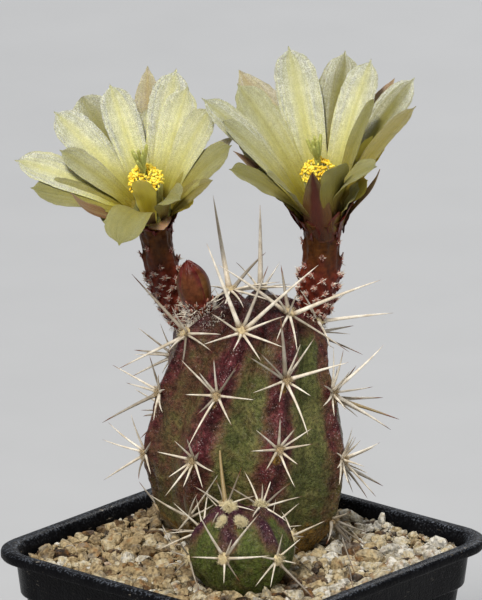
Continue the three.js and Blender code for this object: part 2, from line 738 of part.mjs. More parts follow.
const plant = new THREE.Group();
plant.rotation.z = radians(PLANT_TURN);
plant.add(
  mesh("main_stem", stem.solid(stemSpines), 0x6b5a3c, 0.6),
  mesh("offset_stem", offset.solid(offsetSpines, solidOf(stem.body(1.3))), 0x5e7a35, 0.6),
  mesh("flower_bud", budSolid(stemWithClearance), 0x6e2a1c, 0.5),
);

for (const [side, flower] of [["left", LEFT_FLOWER], ["right", RIGHT_FLOWER]]) {
  plant.add(mesh(`${side}_flower_tube`, tubeSolid(flower, stemWithClearance), 0x5a2a18, 0.55));
  const axis = point(...flower.axis).normalize();
  const right = point(0, 0, 0).crossVectors(axis, point(0, -1, 0)).normalize();
  const back = point(0, 0, 0).crossVectors(axis, right);
  const head = new THREE.Group();
  head.setRotationFromMatrix(new THREE.Matrix4().makeBasis(right, back, axis));
  head.position.set(...flower.throat);
  head.add(
    mesh(`${side}_flower_tepals`, tepalsSolid(flower), 0xd8d79a, 0.5),
    mesh(`${side}_flower_stamens`, stamensSolid(), 0xf0b92a, 0.7),
    mesh(`${side}_flower_pistil`, pistilSolid(), 0x8fae4a, 0.5),
  );
  plant.add(head);
}

const holes = [STEM, OFFSET].map(({ centre: [x, y], lean, hole }) => ({
  ...hole,
  centre: turned([x + lean, y]),
}));

const cactus = new THREE.Group();
cactus.add(mesh("pot", potSolid(), 0x17181a, 0.45), mesh("grit", gritSolid(holes), 0xc9b48a, 0.9), plant);

export default cactus;
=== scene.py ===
"""A young hedgehog cactus in flower, in a square plastic nursery pot topped with grit.

Shapes are made in millimetres. The plant stands in the pot turned by PLANT_TURN, in a frame of its own: x to
its right, y to its back and -y to its front, where the offset grows. An azimuth of 0 is the front and 90 the
right. What the photograph shows is placed by its pixels, as if seen along parallel lines.
"""

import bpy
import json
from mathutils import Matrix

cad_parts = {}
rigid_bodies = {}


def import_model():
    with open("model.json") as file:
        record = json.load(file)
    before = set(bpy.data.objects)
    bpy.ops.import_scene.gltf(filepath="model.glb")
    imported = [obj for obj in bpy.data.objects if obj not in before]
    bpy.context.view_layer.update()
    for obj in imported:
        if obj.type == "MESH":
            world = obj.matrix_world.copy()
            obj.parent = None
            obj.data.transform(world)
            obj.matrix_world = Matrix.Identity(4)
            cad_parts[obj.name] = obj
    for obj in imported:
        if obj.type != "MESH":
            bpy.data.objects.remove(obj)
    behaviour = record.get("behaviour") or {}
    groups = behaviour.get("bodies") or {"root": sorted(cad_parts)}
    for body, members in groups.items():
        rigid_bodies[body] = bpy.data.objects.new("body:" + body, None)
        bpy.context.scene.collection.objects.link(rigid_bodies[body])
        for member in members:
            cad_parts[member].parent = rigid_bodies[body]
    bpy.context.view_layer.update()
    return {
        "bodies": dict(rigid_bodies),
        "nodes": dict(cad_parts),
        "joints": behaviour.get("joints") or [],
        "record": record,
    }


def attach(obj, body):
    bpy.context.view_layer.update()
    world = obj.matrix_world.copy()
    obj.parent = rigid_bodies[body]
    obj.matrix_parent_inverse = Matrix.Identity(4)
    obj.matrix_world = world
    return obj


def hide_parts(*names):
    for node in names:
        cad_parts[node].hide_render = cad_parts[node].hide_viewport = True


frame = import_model()

import bisect
import json
import math
import random

import bmesh
import bpy
from mathutils import Matrix, Vector, noise
from mathutils.bvhtree import BVHTree

PLANT_TURN = math.radians(-49.5)
POT_FRAME = Matrix.Scale(0.001, 4)
PLANT_FRAME = Matrix.Rotation(PLANT_TURN, 4, "Z") @ POT_FRAME
GOLDEN_ANGLE = math.radians(137.5)
GRIT_LEVEL = 70.5
RIM = 75

# the photograph's view, from VIEW_ELEVATION above the plant's front
VIEW_ELEVATION = math.radians(17.7)
PIXELS_PER_MM = 4.59
PHOTO_HEIGHT = 600
VIEW_CENTRE = (241, 300)
AXIS_PIXEL = (243, 542)  # where the middle of the rim's plane lies in the photograph
VIEW_DISTANCE = 2500
SENSOR = 36

# ---------- small helpers ----------


def lerp(a, b, t):
    return a + (b - a) * t


def smooth(t):
    t = min(max(t, 0.0), 1.0)
    return t * t * (3 - 2 * t)


def along(pairs, x):
    """The value at x on straight lines through (x, value) pairs."""
    if x <= pairs[0][0]:
        return pairs[0][1]
    if x >= pairs[-1][0]:
        return pairs[-1][1]
    k = bisect.bisect_right(pairs, (x, math.inf))
    (x0, v0), (x1, v1) = pairs[k - 1], pairs[k]
    return lerp(v0, v1, (x - x0) / (x1 - x0))


def spline(points, steps):
    """Points on a Catmull-Rom curve through the given ones."""
    found = []
    last = len(points) - 1
    for k in range(last):
        before, start, end, after = (points[min(max(k + d, 0), last)] for d in (-1, 0, 1, 2))
        for step in range(steps):
            t = step / steps
            found.append(tuple(
                0.5 * (2 * s + (e - b) * t + (2 * b - 5 * s + 4 * e - a) * t * t
                       + (3 * s - b - 3 * e + a) * t ** 3)
                for b, s, e, a in zip(before, start, end, after)))
    return found + [tuple(points[-1])]


def aside(start, end, angle):
    """The unit vector at an angle from one unit vector to another that stands across it."""
    return start * math.cos(angle) + end * math.sin(angle)


def across(way):
    """Two unit vectors across a direction."""
    helper = Vector((0, 0, 1)) if abs(way.normalized().z) < 0.9 else Vector((1, 0, 0))
    side = helper.cross(way).normalized()
    return side, way.cross(side).normalized()


def toward(azimuth):
    """The level unit vector to an azimuth in radians."""
    return Vector((math.sin(azimuth), -math.cos(azimuth), 0))


def level(angle):
    """The level unit vector at an angle from x."""
    return Vector((math.cos(angle), math.sin(angle), 0))


def scatter(draw, size=1.0):
    """A random vector, denser near the middle and seldom longer than one and a half times the size."""
    return Vector([draw.gauss(0, 0.5) * size for _ in range(3)])


def grid_faces(rows, columns, wrap=False):
    """Quads between rows of points, the last column joined to the first if it wraps."""
    faces = []
    for j in range(rows - 1):
        for i in range(columns if wrap else columns - 1):
            n = (i + 1) % columns
            faces.append((j * columns + i, j * columns + n, (j + 1) * columns + n, (j + 1) * columns + i))
    return faces


def closed_faces(rows, columns):
    """Quads round closed rows of points, with a face over each end."""
    ends = [tuple(reversed(range(columns))), tuple(range((rows - 1) * columns, rows * columns))]
    return grid_faces(rows, columns, wrap=True) + ends


def blade_faces(rows, columns):
    """The faces of a closed blade whose rows hold the points across its front and then across its back."""
    ring = [*range(columns), *range(2 * columns - 1, columns - 1, -1)]
    order = [row * len(ring) + i for row in range(rows) for i in ring]
    return [tuple(order[i] for i in face) for face in closed_faces(rows, len(ring))]


class Shape:
    """Points in millimetres with faces, and numbers per point that a material reads."""

    def __init__(self):
        self.points, self.faces, self.numbers = [], [], {}

    def add(self, points, faces, **numbers):
        first = len(self.points)
        for name in numbers:
            self.numbers.setdefault(name, [0.0] * first)
        self.points.extend(points)
        self.faces.extend(tuple(first + i for i in face) for face in faces)
        for name, values in self.numbers.items():
            given = numbers.get(name, 0.0)
            values.extend(given if isinstance(given, list) else [given] * len(points))

    def tube(self, path, radii, sides, **numbers):
        """A round closed body along a path, with the share of its length as the number "along"."""
        points, shares = [], []
        side = across(path[1] - path[0])[0]
        last = len(path) - 1
        for k, (middle, radius) in enumerate(zip(path, radii)):
            way = (path[min(k + 1, last)] - path[max(k - 1, 0)]).normalized()
            side = (side - way * side.dot(way)).normalized()
            up = way.cross(side)
            for i in range(sides):
                points.append(middle + aside(side, up, math.tau * i / sides) * radius)
                shares.append(k / last)
        self.add(points, closed_faces(last + 1, sides), along=shares, **numbers)

    def needle(self, start, tip, radius, bow, sides, steps, **numbers):
        """A spine: nearly straight, with a bulb at its foot and a long taper to its tip."""
        shares = [k / steps for k in range(steps + 1)]
        path = [start.lerp(tip, t) + bow * (4 * t * (1 - t)) for t in shares]
        radii = [radius * (1.25 if k == 0 else 1) * max((1 - t) ** 0.62, 0.06) for k, t in enumerate(shares)]
        self.tube(path, radii, sides, **numbers)

    def build(self, name, node, slot, material, frame, sharp=None):
        """Makes the piece, with edges sharper than an angle in degrees left hard."""
        mesh = bpy.data.meshes.new(name)
        mesh.from_pydata([frame @ p for p in self.points], [], self.faces)
        for key, values in self.numbers.items():
            mesh.attributes.new(key, "FLOAT", "POINT").data.foreach_set("value", values)
        mesh.shade_smooth()
        if sharp:
            mesh.set_sharp_from_angle(angle=math.radians(sharp))
        mesh.materials.append(material)
        piece = bpy.data.objects.new(name, mesh)
        bpy.context.collection.objects.link(piece)
        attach(piece, "root")
        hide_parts(node)
        return piece


# ---------- materials ----------


class Value:
    """A number or a colour in a material's node tree. Its methods pass it on through more nodes."""

    def __init__(self, paint, socket):
        self.paint, self.socket = paint, socket

    def calc(self, operation, b=0.0, c=0.0):
        return self.paint.node("Math", {0: self, 1: b, 2: c}, operation=operation)

    def __mul__(self, other):
        return self.calc("MULTIPLY", other)

    def __add__(self, other):
        return self.calc("ADD", other)

    def linear(self, gain, offset):
        return self.calc("MULTIPLY_ADD", gain, offset)

    def band(self, low, high, start=0.0, end=1.0):
        """A smooth step from start to end as the value goes from low to high."""
        inputs = {"Value": self, "From Min": low, "From Max": high, "To Min": start, "To Max": end}
        return self.paint.node("MapRange", inputs, interpolation_type="SMOOTHSTEP")

    def mix(self, a, b):
        """The colour a where the value is 0, and b where it is 1."""
        a, b = (colour if isinstance(colour, Value) else (*colour, 1) for colour in (a, b))
        return self.paint.node("Mix", {0: self, 6: a, 7: b}, 2, data_type="RGBA")

    def ramp(self, *stops):
        """A colour ramp through (position, colour) stops."""
        out = self.paint.node("ValToRGB", {"Fac": self})
        elements = out.socket.node.color_ramp.elements
        while len(elements) < len(stops):
            elements.new(0.5)
        for element, (position, colour) in zip(elements, stops):
            element.position = position
            element.color = (*colour, 1)
        return out

    def shade(self, brightness):
        """The colour made lighter or darker."""
        return self.paint.node("HueSaturation", {"Color": self, "Value": brightness})


class Paint:
    """A principled material whose colour, roughness and bump come from its own nodes."""

    def __init__(self, name, **settings):
        self.material = bpy.data.materials.new(name)
        self.material.use_nodes = True
        self.tree = self.material.node_tree
        self.shader = self.tree.nodes["Principled BSDF"]
        for socket, value in settings.items():
            self.shader.inputs[socket.replace("_", " ")].default_value = value

    def node(self, kind, inputs, output=0, **options):
        made = self.tree.nodes.new("ShaderNode" + kind)
        for key, value in options.items():
            setattr(made, key, value)
        for key, value in inputs.items():
            if isinstance(value, Value):
                self.tree.links.new(value.socket, made.inputs[key])
            else:
                made.inputs[key].default_value = value
        return Value(self, made.outputs[output])

    def number(self, name):
        """A number that the shape carries at each of its points."""
        return self.node("Attribute", {}, 2, attribute_name=name)

    def place(self, stretch=(1, 1, 1)):
        return self.node("Mapping", {"Vector": self.node("TexCoord", {}, 3), "Scale": stretch})

    def grain(self, size, detail=3, stretch=(1, 1, 1)):
        """Noise from 0 to 1 with features about size millimetres wide."""
        return self.node("TexNoise", {"Vector": self.place(stretch), "Scale": 1000 / size, "Detail": detail})

    def dots(self, size):
        """The distance from the nearest of many points about size millimetres apart, in that unit."""
        return self.node("TexVoronoi", {"Vector": self.place(), "Scale": 1000 / size})

    def finish(self, colour, roughness=None, height=None, depth=0.1):
        """Sets the colour, the roughness and a bump of a depth in millimetres."""
        bump = height and self.node("Bump", {"Height": height, "Distance": depth / 1000})
        for socket, value in (("Base Color", colour), ("Roughness", roughness), ("Normal", bump)):
            if value:
                self.tree.links.new(value.socket, self.shader.inputs[socket])
        return self.material


def skin_paint():
    """Waxy stem skin: green to purple by the number "purple", corky by "cork", with fine pale pores, painted
    shade by "crease" and painted glints on the crests by "crest".
    """
    paint = Paint("stem_skin", Specular_IOR_Level=0.13, Subsurface_Weight=0.03,
                  Subsurface_Radius=(0.001, 0.0005, 0.0003))
    fine, violet = paint.grain(0.4), paint.number("violet")
    green = (paint.grain(3.6) * 0.8 + fine * 0.2).ramp(
        (0.30, (0.042, 0.051, 0.012)), (0.5, (0.082, 0.087, 0.025)), (0.70, (0.150, 0.139, 0.045)))
    purple = (paint.grain(2.2, 4) * 0.75 + fine * 0.25).ramp(
        (0.34, (0.020, 0.004, 0.005)), (0.5, (0.064, 0.012, 0.014)), (0.66, (0.130, 0.030, 0.034)))
    green = (violet * 0.6).mix(green, (0.050, 0.076, 0.010))
    purple = (violet * 0.75).mix(purple, (0.034, 0.010, 0.020))
    edge = paint.number("purple") + paint.grain(2.4, 6).linear(1.3, -0.65)
    redness = edge.band(0.2, 1.15)
    colour = edge.band(-0.1, 0.6).mix(green, (0.105, 0.064, 0.027))
    colour = redness.mix(colour, purple)
    cork = paint.grain(1.0, 5).ramp((0.3, (0.070, 0.036, 0.008)), (0.7, (0.290, 0.165, 0.036)))
    corky = paint.number("cork") + paint.grain(1.2, 5).linear(0.8, -0.4)
    colour = corky.band(0.35, 0.75).mix(colour, cork)
    # painted shade: darker in the grooves where they dip and over the crown of a corky stem
    crease = paint.number("crease").band(0.0, 0.8, 1.0, 0.2)
    colour = colour.shade(paint.grain(0.7, 4).band(0.34, 0.64, 0.58, 1.28) * crease)
    dot = paint.dots(0.42).band(0.12, 0.42, 1.0, 0.0)
    dotted = dot * paint.grain(2.2, 4).band(0.36, 0.60, 0.25, 1.0)
    pore = redness.mix((0.215, 0.205, 0.100), (0.150, 0.050, 0.050))
    colour = (dotted * 0.7).mix(colour, pore)
    # painted glints: pale pink highlights painted as fine dots along the crests
    painted_glint = paint.number("crest") * paint.grain(1.6).band(0.42, 0.58)
    painted_glint = paint.dots(0.5).band(0.18, 0.34, 1.0, 0.0) * painted_glint
    colour = (painted_glint * 0.7).mix(colour, (0.50, 0.36, 0.35))
    height = fine * 0.5 + dot * 0.5 + paint.grain(1.2) * 1.3
    return paint.finish(colour, fine.band(0.2, 0.8, 0.20, 0.38), height, 0.34)


def spine_paint():
    """Ivory spines with a brown foot and a brown tip, greyer and browner by the number "tone"."""
    paint = Paint("spine_ivory", Specular_IOR_Level=0.4)
    share, tone = paint.number("along"), paint.number("tone")
    body = paint.grain(2.5).band(0.3, 0.7).mix((0.58, 0.49, 0.36), (0.88, 0.81, 0.68))
    body = tone.band(0.4, 1.0, 0.0, 0.9).mix(body, (0.125, 0.095, 0.062))
    body = tone.band(1.2, 2.0).mix(body, (0.28, 0.20, 0.085))
    tip = share + tone.calc("MINIMUM", 1.0).linear(0.25, -0.1)
    colour = tip.band(0.82, 1.0).mix(body, (0.15, 0.050, 0.018))
    colour = share.band(0.0, 0.08, 0.85, 0.0).mix(colour, (0.26, 0.14, 0.055))
    colour = colour.shade(paint.grain(0.35).band(0.3, 0.7, 0.88, 1.06))
    return paint.finish(colour, share.band(0, 1, 0.45, 0.32), paint.grain(0.3), 0.04)


def wool_paint():
    """Wool: cream, browner by the number "tan", whiter by "white" and pinker by "pink"."""
    paint = Paint("areole_wool", Roughness=0.9, Sheen_Weight=0.4, Specular_IOR_Level=0.2)
    colour = paint.grain(0.5).mix((0.64, 0.52, 0.26), (0.92, 0.83, 0.52))
    colour = paint.number("tan").mix(colour, (0.26, 0.14, 0.055))
    colour = paint.number("white").mix(colour, (0.76, 0.71, 0.67))
    colour = paint.number("pink").mix(colour, (0.50, 0.140, 0.110))
    return paint.finish(colour, height=paint.grain(0.2), depth=0.05)


def tepal_paint():
    """Silky tepals, from a yellow-green base to a pale blade.

    By their numbers they are pale and silvery with a painted sheen ("silver"), olive or pink, take the colours of
    their back ("under"), are made brighter by painted light as if light passed through them ("glow"), or are
    purple-brown with a paler edge ("dark").
    """
    paint = Paint("silky_tepal", Subsurface_Weight=0.6, Specular_IOR_Level=0.22, Sheen_Weight=0.06,
                  Subsurface_Radius=(0.0030, 0.0027, 0.0008))
    share, side = paint.number("along"), paint.number("side")
    edge = side.calc("ABSOLUTE")
    fine, satin = paint.grain(0.19, 2), paint.grain(1.3, 5)
    drawn_out = paint.node("CombineXYZ", {0: side * 5.0, 1: share * 1.2, 2: paint.number("seed")})
    streaks = paint.node("TexNoise", {"Vector": drawn_out, "Scale": 1.2, "Detail": 3.0})
    colour = share.ramp(
        (0.0, (0.24, 0.175, 0.012)), (0.18, (0.43, 0.38, 0.055)), (0.42, (0.72, 0.70, 0.30)),
        (0.7, (0.71, 0.70, 0.41)), (1.0, (0.46, 0.45, 0.21)))
    vein = edge.band(0.0, 0.3, 0.5, 0.0) * streaks.band(0.3, 0.65, 0.4, 1.0)
    colour = vein.mix(colour, (0.54, 0.51, 0.16))
    olive = streaks.linear(0.35, share * 0.65).ramp(
        (0.12, (0.230, 0.170, 0.006)), (0.35, (0.270, 0.225, 0.022)), (0.60, (0.200, 0.184, 0.040)),
        (0.90, (0.160, 0.156, 0.050)))
    colour = paint.number("olive").mix(colour, olive)
    pink = share.ramp((0.0, (0.10, 0.022, 0.008)), (0.5, (0.21, 0.095, 0.040)), (1.0, (0.36, 0.21, 0.135)))
    blush = paint.number("pink") * streaks.band(0.25, 0.6, 0.6, 1.0)
    colour = blush.mix(colour, pink)
    # painted sheen: a pale silvery colour, partly the tepals' own, with a painted sheen and sparkle towards the
    # edges and tips
    painted_sheen_zone = edge.band(0.0, 0.72) * share.band(0.15, 0.58) + share.band(0.72, 0.98, 0.0, 0.45)
    painted_sheen_zone = painted_sheen_zone * streaks.band(0.30, 0.66, 0.4, 1.15) * paint.number("silver")
    painted_sparkle = fine.band(0.32, 0.70) * satin.band(0.28, 0.60, 0.5, 1.0)
    silver = painted_sparkle.mix((0.345, 0.345, 0.255), (0.68, 0.69, 0.58))
    colour = (painted_sheen_zone * 0.85).mix(colour, silver)
    lines = (side * 22.0).calc("SINE").band(-1.0, 1.0, 0.96, 1.03)
    colour = colour.shade(fine.band(0.34, 0.62, 0.84, 1.06) * lines * satin.band(0.3, 0.7, 0.93, 1.04))
    back = share.ramp(
        (0.04, (0.060, 0.016, 0.003)), (0.22, (0.150, 0.090, 0.008)), (0.5, (0.235, 0.200, 0.030)),
        (1.0, (0.285, 0.262, 0.080)))
    colour = paint.number("under").mix(colour, back)
    # painted light: shaded tepals made brighter and yellower, most at their edges, as if light passed through
    # them
    painted_glow_colour = share.ramp((0.1, (0.40, 0.30, 0.020)), (0.45, (0.51, 0.42, 0.030)), (1.0, (0.66, 0.56, 0.12)))
    painted_glow_colour = edge.band(0.3, 0.9).mix(painted_glow_colour, (0.70, 0.60, 0.10))
    colour = paint.number("glow").mix(colour, painted_glow_colour)
    bloom = satin.linear(0.35, share * 0.7).ramp(
        (0.2, (0.050, 0.011, 0.002)), (0.5, (0.070, 0.012, 0.006)), (0.85, (0.085, 0.022, 0.014)))
    rim = share.ramp(
        (0.15, (0.075, 0.022, 0.003)), (0.5, (0.110, 0.050, 0.012)), (0.75, (0.170, 0.115, 0.050)))
    bloom = satin.linear(0.3, edge).band(0.35, 0.85).mix(bloom, rim)
    colour = paint.number("dark").mix(colour, bloom)
    return paint.finish(colour, fine.band(0.3, 0.7, 0.30, 0.5), streaks * 1.6 + fine * 1.3, 0.11)


def two_tone_paint(name, size, dark, light, depth, roughness=(0.4, 0.6), **settings):
    """Mottled between two colours, with a finer bump."""
    paint = Paint(name, **settings)
    grain = paint.grain(size, 4)
    colour = grain.band(0.3, 0.7).mix(dark, light)
    return paint.finish(colour, grain.band(0.3, 0.7, *roughness), paint.grain(size / 3), depth)


def tube_paint():
    """Dark red-brown tube skin, browner upwards, with crimson knobs."""
    paint = Paint("tube_skin", Specular_IOR_Level=0.14, Subsurface_Weight=0.04,
                  Subsurface_Radius=(0.001, 0.0004, 0.0002))
    mottle = paint.grain(1.3, 4).band(0.25, 0.75)
    low = mottle.mix((0.038, 0.005, 0.003), (0.120, 0.019, 0.008))
    high = mottle.mix((0.032, 0.009, 0.002), (0.090, 0.030, 0.005))
    colour = paint.number("along").band(0.45, 0.75).mix(low, high)
    colour = (paint.number("knob") * 0.65).mix(colour, (0.22, 0.036, 0.022))
    return paint.finish(colour, mottle.band(0.0, 1.0, 0.28, 0.48), paint.grain(0.45, 4), 0.15)


def scale_paint():
    """Sepals and scales: crimson to olive-brown by the number "olive", paler at their tips by "pale"."""
    paint = Paint("scale_skin", Specular_IOR_Level=0.16, Subsurface_Weight=0.04,
                  Subsurface_Radius=(0.001, 0.0004, 0.0002))
    mottle, share = paint.grain(1.2).band(0.25, 0.75), paint.number("along")
    edge = paint.number("side").calc("ABSOLUTE")
    crimson = mottle.mix((0.050, 0.005, 0.003), (0.125, 0.016, 0.012))
    olive = mottle.mix((0.082, 0.048, 0.006), (0.165, 0.120, 0.018))
    green = paint.number("olive") * edge.band(0.15, 0.75, 1.0, 0.0)
    green = green * share.band(0.02, 0.3, 0.2, 1.0) * share.band(0.62, 0.95, 1.0, 0.15)
    colour = green.mix(crimson, olive)
    colour = (paint.number("pale") * share.band(0.35, 1.0)).mix(colour, (0.55, 0.25, 0.17))
    return paint.finish(colour, mottle.band(0.0, 1.0, 0.28, 0.45), paint.grain(0.4), 0.1)


def stone_paint():
    """Mineral grit: a colour per stone, from its number "tone", with mottling, rust, grey patches and a darker
    and lighter speckle.
    """
    paint = Paint("mineral_grit", Specular_IOR_Level=0.25)
    mottle = paint.grain(1.3, 6)
    tone = paint.number("tone") + paint.grain(0.8, 4).linear(0.7, -0.35)
    colour = tone.ramp(
        (0.0, (0.028, 0.018, 0.011)), (0.14, (0.085, 0.044, 0.018)), (0.28, (0.160, 0.110, 0.055)),
        (0.42, (0.270, 0.195, 0.100)), (0.58, (0.410, 0.310, 0.165)), (0.74, (0.500, 0.415, 0.255)),
        (0.88, (0.540, 0.490, 0.380)), (1.0, (0.640, 0.610, 0.540)))
    rust = paint.grain(2.6, 5).band(0.54, 0.72) * 0.7
    colour = rust.mix(colour, (0.27, 0.120, 0.030))
    grey = paint.grain(3.4, 4, (1.2, 1, 1)).band(0.53, 0.68) * 0.6
    colour = grey.mix(colour, (0.20, 0.185, 0.155))
    colour = colour.shade(paint.grain(0.9, 5).band(0.30, 0.56, 0.45, 1.1))
    return paint.finish(colour, mottle.band(0.3, 0.7, 0.55, 0.8), paint.grain(0.4, 5) + mottle * 2.5, 0.35)


def pot_paint():
    """Black moulded plastic, dusty and speckled on its ledges, the bluish-grey specks there partly dust and
    partly painted highlight, with scuffs, water marks and fine streaks.
    """
    paint = Paint("black_pot_plastic", Specular_IOR_Level=0.04)
    facing_up = paint.node("SeparateXYZ", {0: paint.node("NewGeometry", {}, 1)}, 2)
    cloud, fine = paint.grain(7, 5), paint.grain(0.45, 5)
    colour = cloud.mix((0.0015, 0.0015, 0.002), (0.006, 0.006, 0.007))
    # faces that look up: bluish-grey specks, partly dust and partly painted highlight
    ledge_dust_and_painted_highlight = facing_up.band(0.2, 0.9) * fine.band(0.50, 0.66) * cloud.band(0.3, 0.6, 0.25, 1.0)
    colour = (ledge_dust_and_painted_highlight * 0.75).mix(colour, (0.125, 0.142, 0.172))
    marks = paint.grain(1.6, 6, (1, 1, 3.5)).band(0.63, 0.72) * paint.grain(12).band(0.48, 0.6)
    colour = (marks * 0.8).mix(colour, (0.30, 0.26, 0.20))
    streak = paint.grain(0.8, 4, (1, 1, 0.04)).band(0.52, 0.72) * 0.35
    colour = streak.mix(colour, (0.012, 0.013, 0.015))
    dust = fine.band(0.58, 0.7) * cloud.band(0.45, 0.7)
    colour = (dust * 0.22).mix(colour, (0.16, 0.155, 0.15))
    rough = cloud.band(0.3, 0.7, 0.2, 0.36) + ledge_dust_and_painted_highlight * 0.3
    return paint.finish(colour, rough, paint.grain(3.5, 3, (1, 1, 0.15)) * 1.5 + fine, 0.14)


def pollen_paint():
    """Golden pollen, paler by the number "tone"."""
    paint = Paint("pollen_yellow", Subsurface_Weight=0.15, Roughness=0.75,
                  Subsurface_Radius=(0.0008, 0.0005, 0.0001))
    colour = paint.number("tone").band(0.0, 1.0).mix((0.93, 0.60, 0.020), (1.0, 0.86, 0.12))
    return paint.finish(colour, height=paint.grain(0.18), depth=0.06)


SKIN = skin_paint()
SPINE = spine_paint()
WOOL = wool_paint()
TEPAL = tepal_paint()
TUBE_SKIN = tube_paint()
SCALE = scale_paint()
STONE = stone_paint()
POT = pot_paint()
POLLEN = pollen_paint()
FILAMENT = two_tone_paint("filament", 0.8, (0.62, 0.58, 0.16), (0.78, 0.74, 0.30), 0.03,
                          Subsurface_Weight=0.2)
STIGMA = two_tone_paint("stigma_green", 0.4, (0.33, 0.34, 0.06), (0.50, 0.50, 0.13), 0.05, (0.6, 0.8),
                        Subsurface_Weight=0.1)
# dark fines under the stones, their darkness partly painted shade in the crevices
SOIL = two_tone_paint("fines_with_painted_crevice_shade", 1.2, (0.016, 0.011, 0.007), (0.120, 0.085, 0.048), 0.3, (0.8, 0.95))

# ---------- pot ----------

POT_HALF, POT_CORNER = 40, 9  # half width and corner radius of the rim
POT_CORNER_TAPER = 0.33  # how much a corner's radius shrinks with the half width
POT_PROFILE = [  # (half width, height) outside from the underside to the rim, then inside down to the floor
    (26.5, 0), (27.1, 0.25), (27.6, 1.2), (29.3, 15), (31.1, 29.5), (33.3, 46.5), (35.6, 64), (35.8, 64.1),
    (36.5, 64.65), (36.62, 64.9), (37.35, 72.2), (37.55, 72.5), (39.3, 72.58), (39.75, 72.75), (40, 73.2),
    (40, 74.25), (39.85, 74.7), (39.4, 75), (37.7, 75), (37.2, 74.8), (36.9, 74.4), (36.3, 72.5),
    (35.45, 65.3), (35.2, 64.8), (34.5, 63.8), (34.3, 63.2), (31.4, 40), (26.6, 2),
]
POT_WOBBLE = 0.25  # how far its thin walls wander
DRAIN_RADIUS, DRAIN_OFFSET = 3.5, 15
SIDE_STEPS = CORNER_STEPS = 9


def square_ring(half, height, wobble=0.0):
    """A rounded square, each side of which may wander a little."""
    corner = POT_CORNER - POT_CORNER_TAPER * (POT_HALF - half)
    flat = half - corner
    ring = []
    for quarter in range(4):
        turn = Matrix.Rotation(quarter * math.pi / 2, 3, "Z")
        for k in range(SIDE_STEPS):
            ring.append(turn @ Vector((half, lerp(-flat, flat, k / SIDE_STEPS), height)))
        for k in range(CORNER_STEPS):
            angle = k / CORNER_STEPS * math.pi / 2
            x, y = flat + corner * math.cos(angle), flat + corner * math.sin(angle)
            ring.append(turn @ Vector((x, y, height)))
    for p in ring:
        push = noise.noise(Vector((p.x, p.y, height * 0.6)) * 0.045) + 0.3 * noise.noise(p * 0.2)
        p += Vector((p.x, p.y, 0)).normalized() * wobble * push
    return ring


def make_pot():
    rings = [square_ring(half, height, POT_WOBBLE * smooth((height - 20) / 50))
             for half, height in POT_PROFILE]
    shape = Shape()
    shape.add([p for ring in rings for p in ring], closed_faces(len(rings), len(rings[0])))
    pot = shape.build("pot_shell", "pot", "pot_plastic", POT, POT_FRAME)
    cutters = []
    for x in (-DRAIN_OFFSET, DRAIN_OFFSET):
        for y in (-DRAIN_OFFSET, DRAIN_OFFSET):
            bpy.ops.mesh.primitive_cylinder_add(
                vertices=32, radius=DRAIN_RADIUS / 1000, depth=0.01, location=(x / 1000, y / 1000, 0))
            cutters.append(bpy.context.object)
            cut = pot.modifiers.new("drain", "BOOLEAN")
            cut.object, cut.operation, cut.solver = cutters[-1], "DIFFERENCE", "EXACT"
    bpy.context.view_layer.update()
    pot_mesh = bpy.data.meshes.new_from_object(pot.evaluated_get(bpy.context.evaluated_depsgraph_get()))
    pot.modifiers.clear()
    pot.data = pot_mesh
    pot_mesh.set_sharp_from_angle(angle=math.radians(40))
    for cutter in cutters:
        bpy.data.objects.remove(cutter)


# ---------- grit ----------

# the feet of the main stem and the offset: middle and radius at the grit's level, in the plant's frame
FEET = [((2.15, 15.5), 14.7), ((-0.4, -16.6), 7.2)]
# half the width inside the pot at the grit's level, and the middle and radius of its rounded corners
GRIT_HALF, GRIT_CORNER_MIDDLE, GRIT_CORNER = 36.2, 27.5, 8.6
GRIT_RINGS = [35.8, *range(33, 0, -3), 0.6]  # half widths of the squares that the bed is laid out on
STONE_CUTS, STONE_SHARPNESS = 12, 60
ODD_TONES = (0.03, 0.12, 0.18, 0.97, 0.9)  # of single dark, rusty and white stones


def stone_shape(draw, detail):
    """The points and faces of an angular stone, about two units wide: a ball cut by random planes."""
    mesh = bmesh.new()
    bmesh.ops.create_icosphere(mesh, subdivisions=detail, radius=1)
    planes = [(scatter(draw).normalized(), draw.uniform(0.42, 0.85)) for _ in range(STONE_CUTS)]
    start = scatter(draw, 9)
    points = []
    for vertex in mesh.verts:
        way = vertex.co.normalized()
        cuts = [h / way.dot(n) for n, h in planes if way.dot(n) > 0.1] + [1.0]
        reach = -math.log(sum(math.exp(-STONE_SHARPNESS * cut) for cut in cuts)) / STONE_SHARPNESS
        points.append(way * (reach * (1 + 0.07 * noise.noise(way * 2.5 + start))))
    faces = [tuple(vertex.index for vertex in face.verts) for face in mesh.faces]
    mesh.free()
    return points, faces


def grit_height(x, y):
    """The grit's mean surface, uneven and heaped towards the rim."""
    heap = 1.1 * smooth((max(abs(x), abs(y)) - 24) / 11)
    return GRIT_LEVEL + 0.3 + heap + 0.9 * noise.noise(Vector((x, y, 3)) * 0.07)


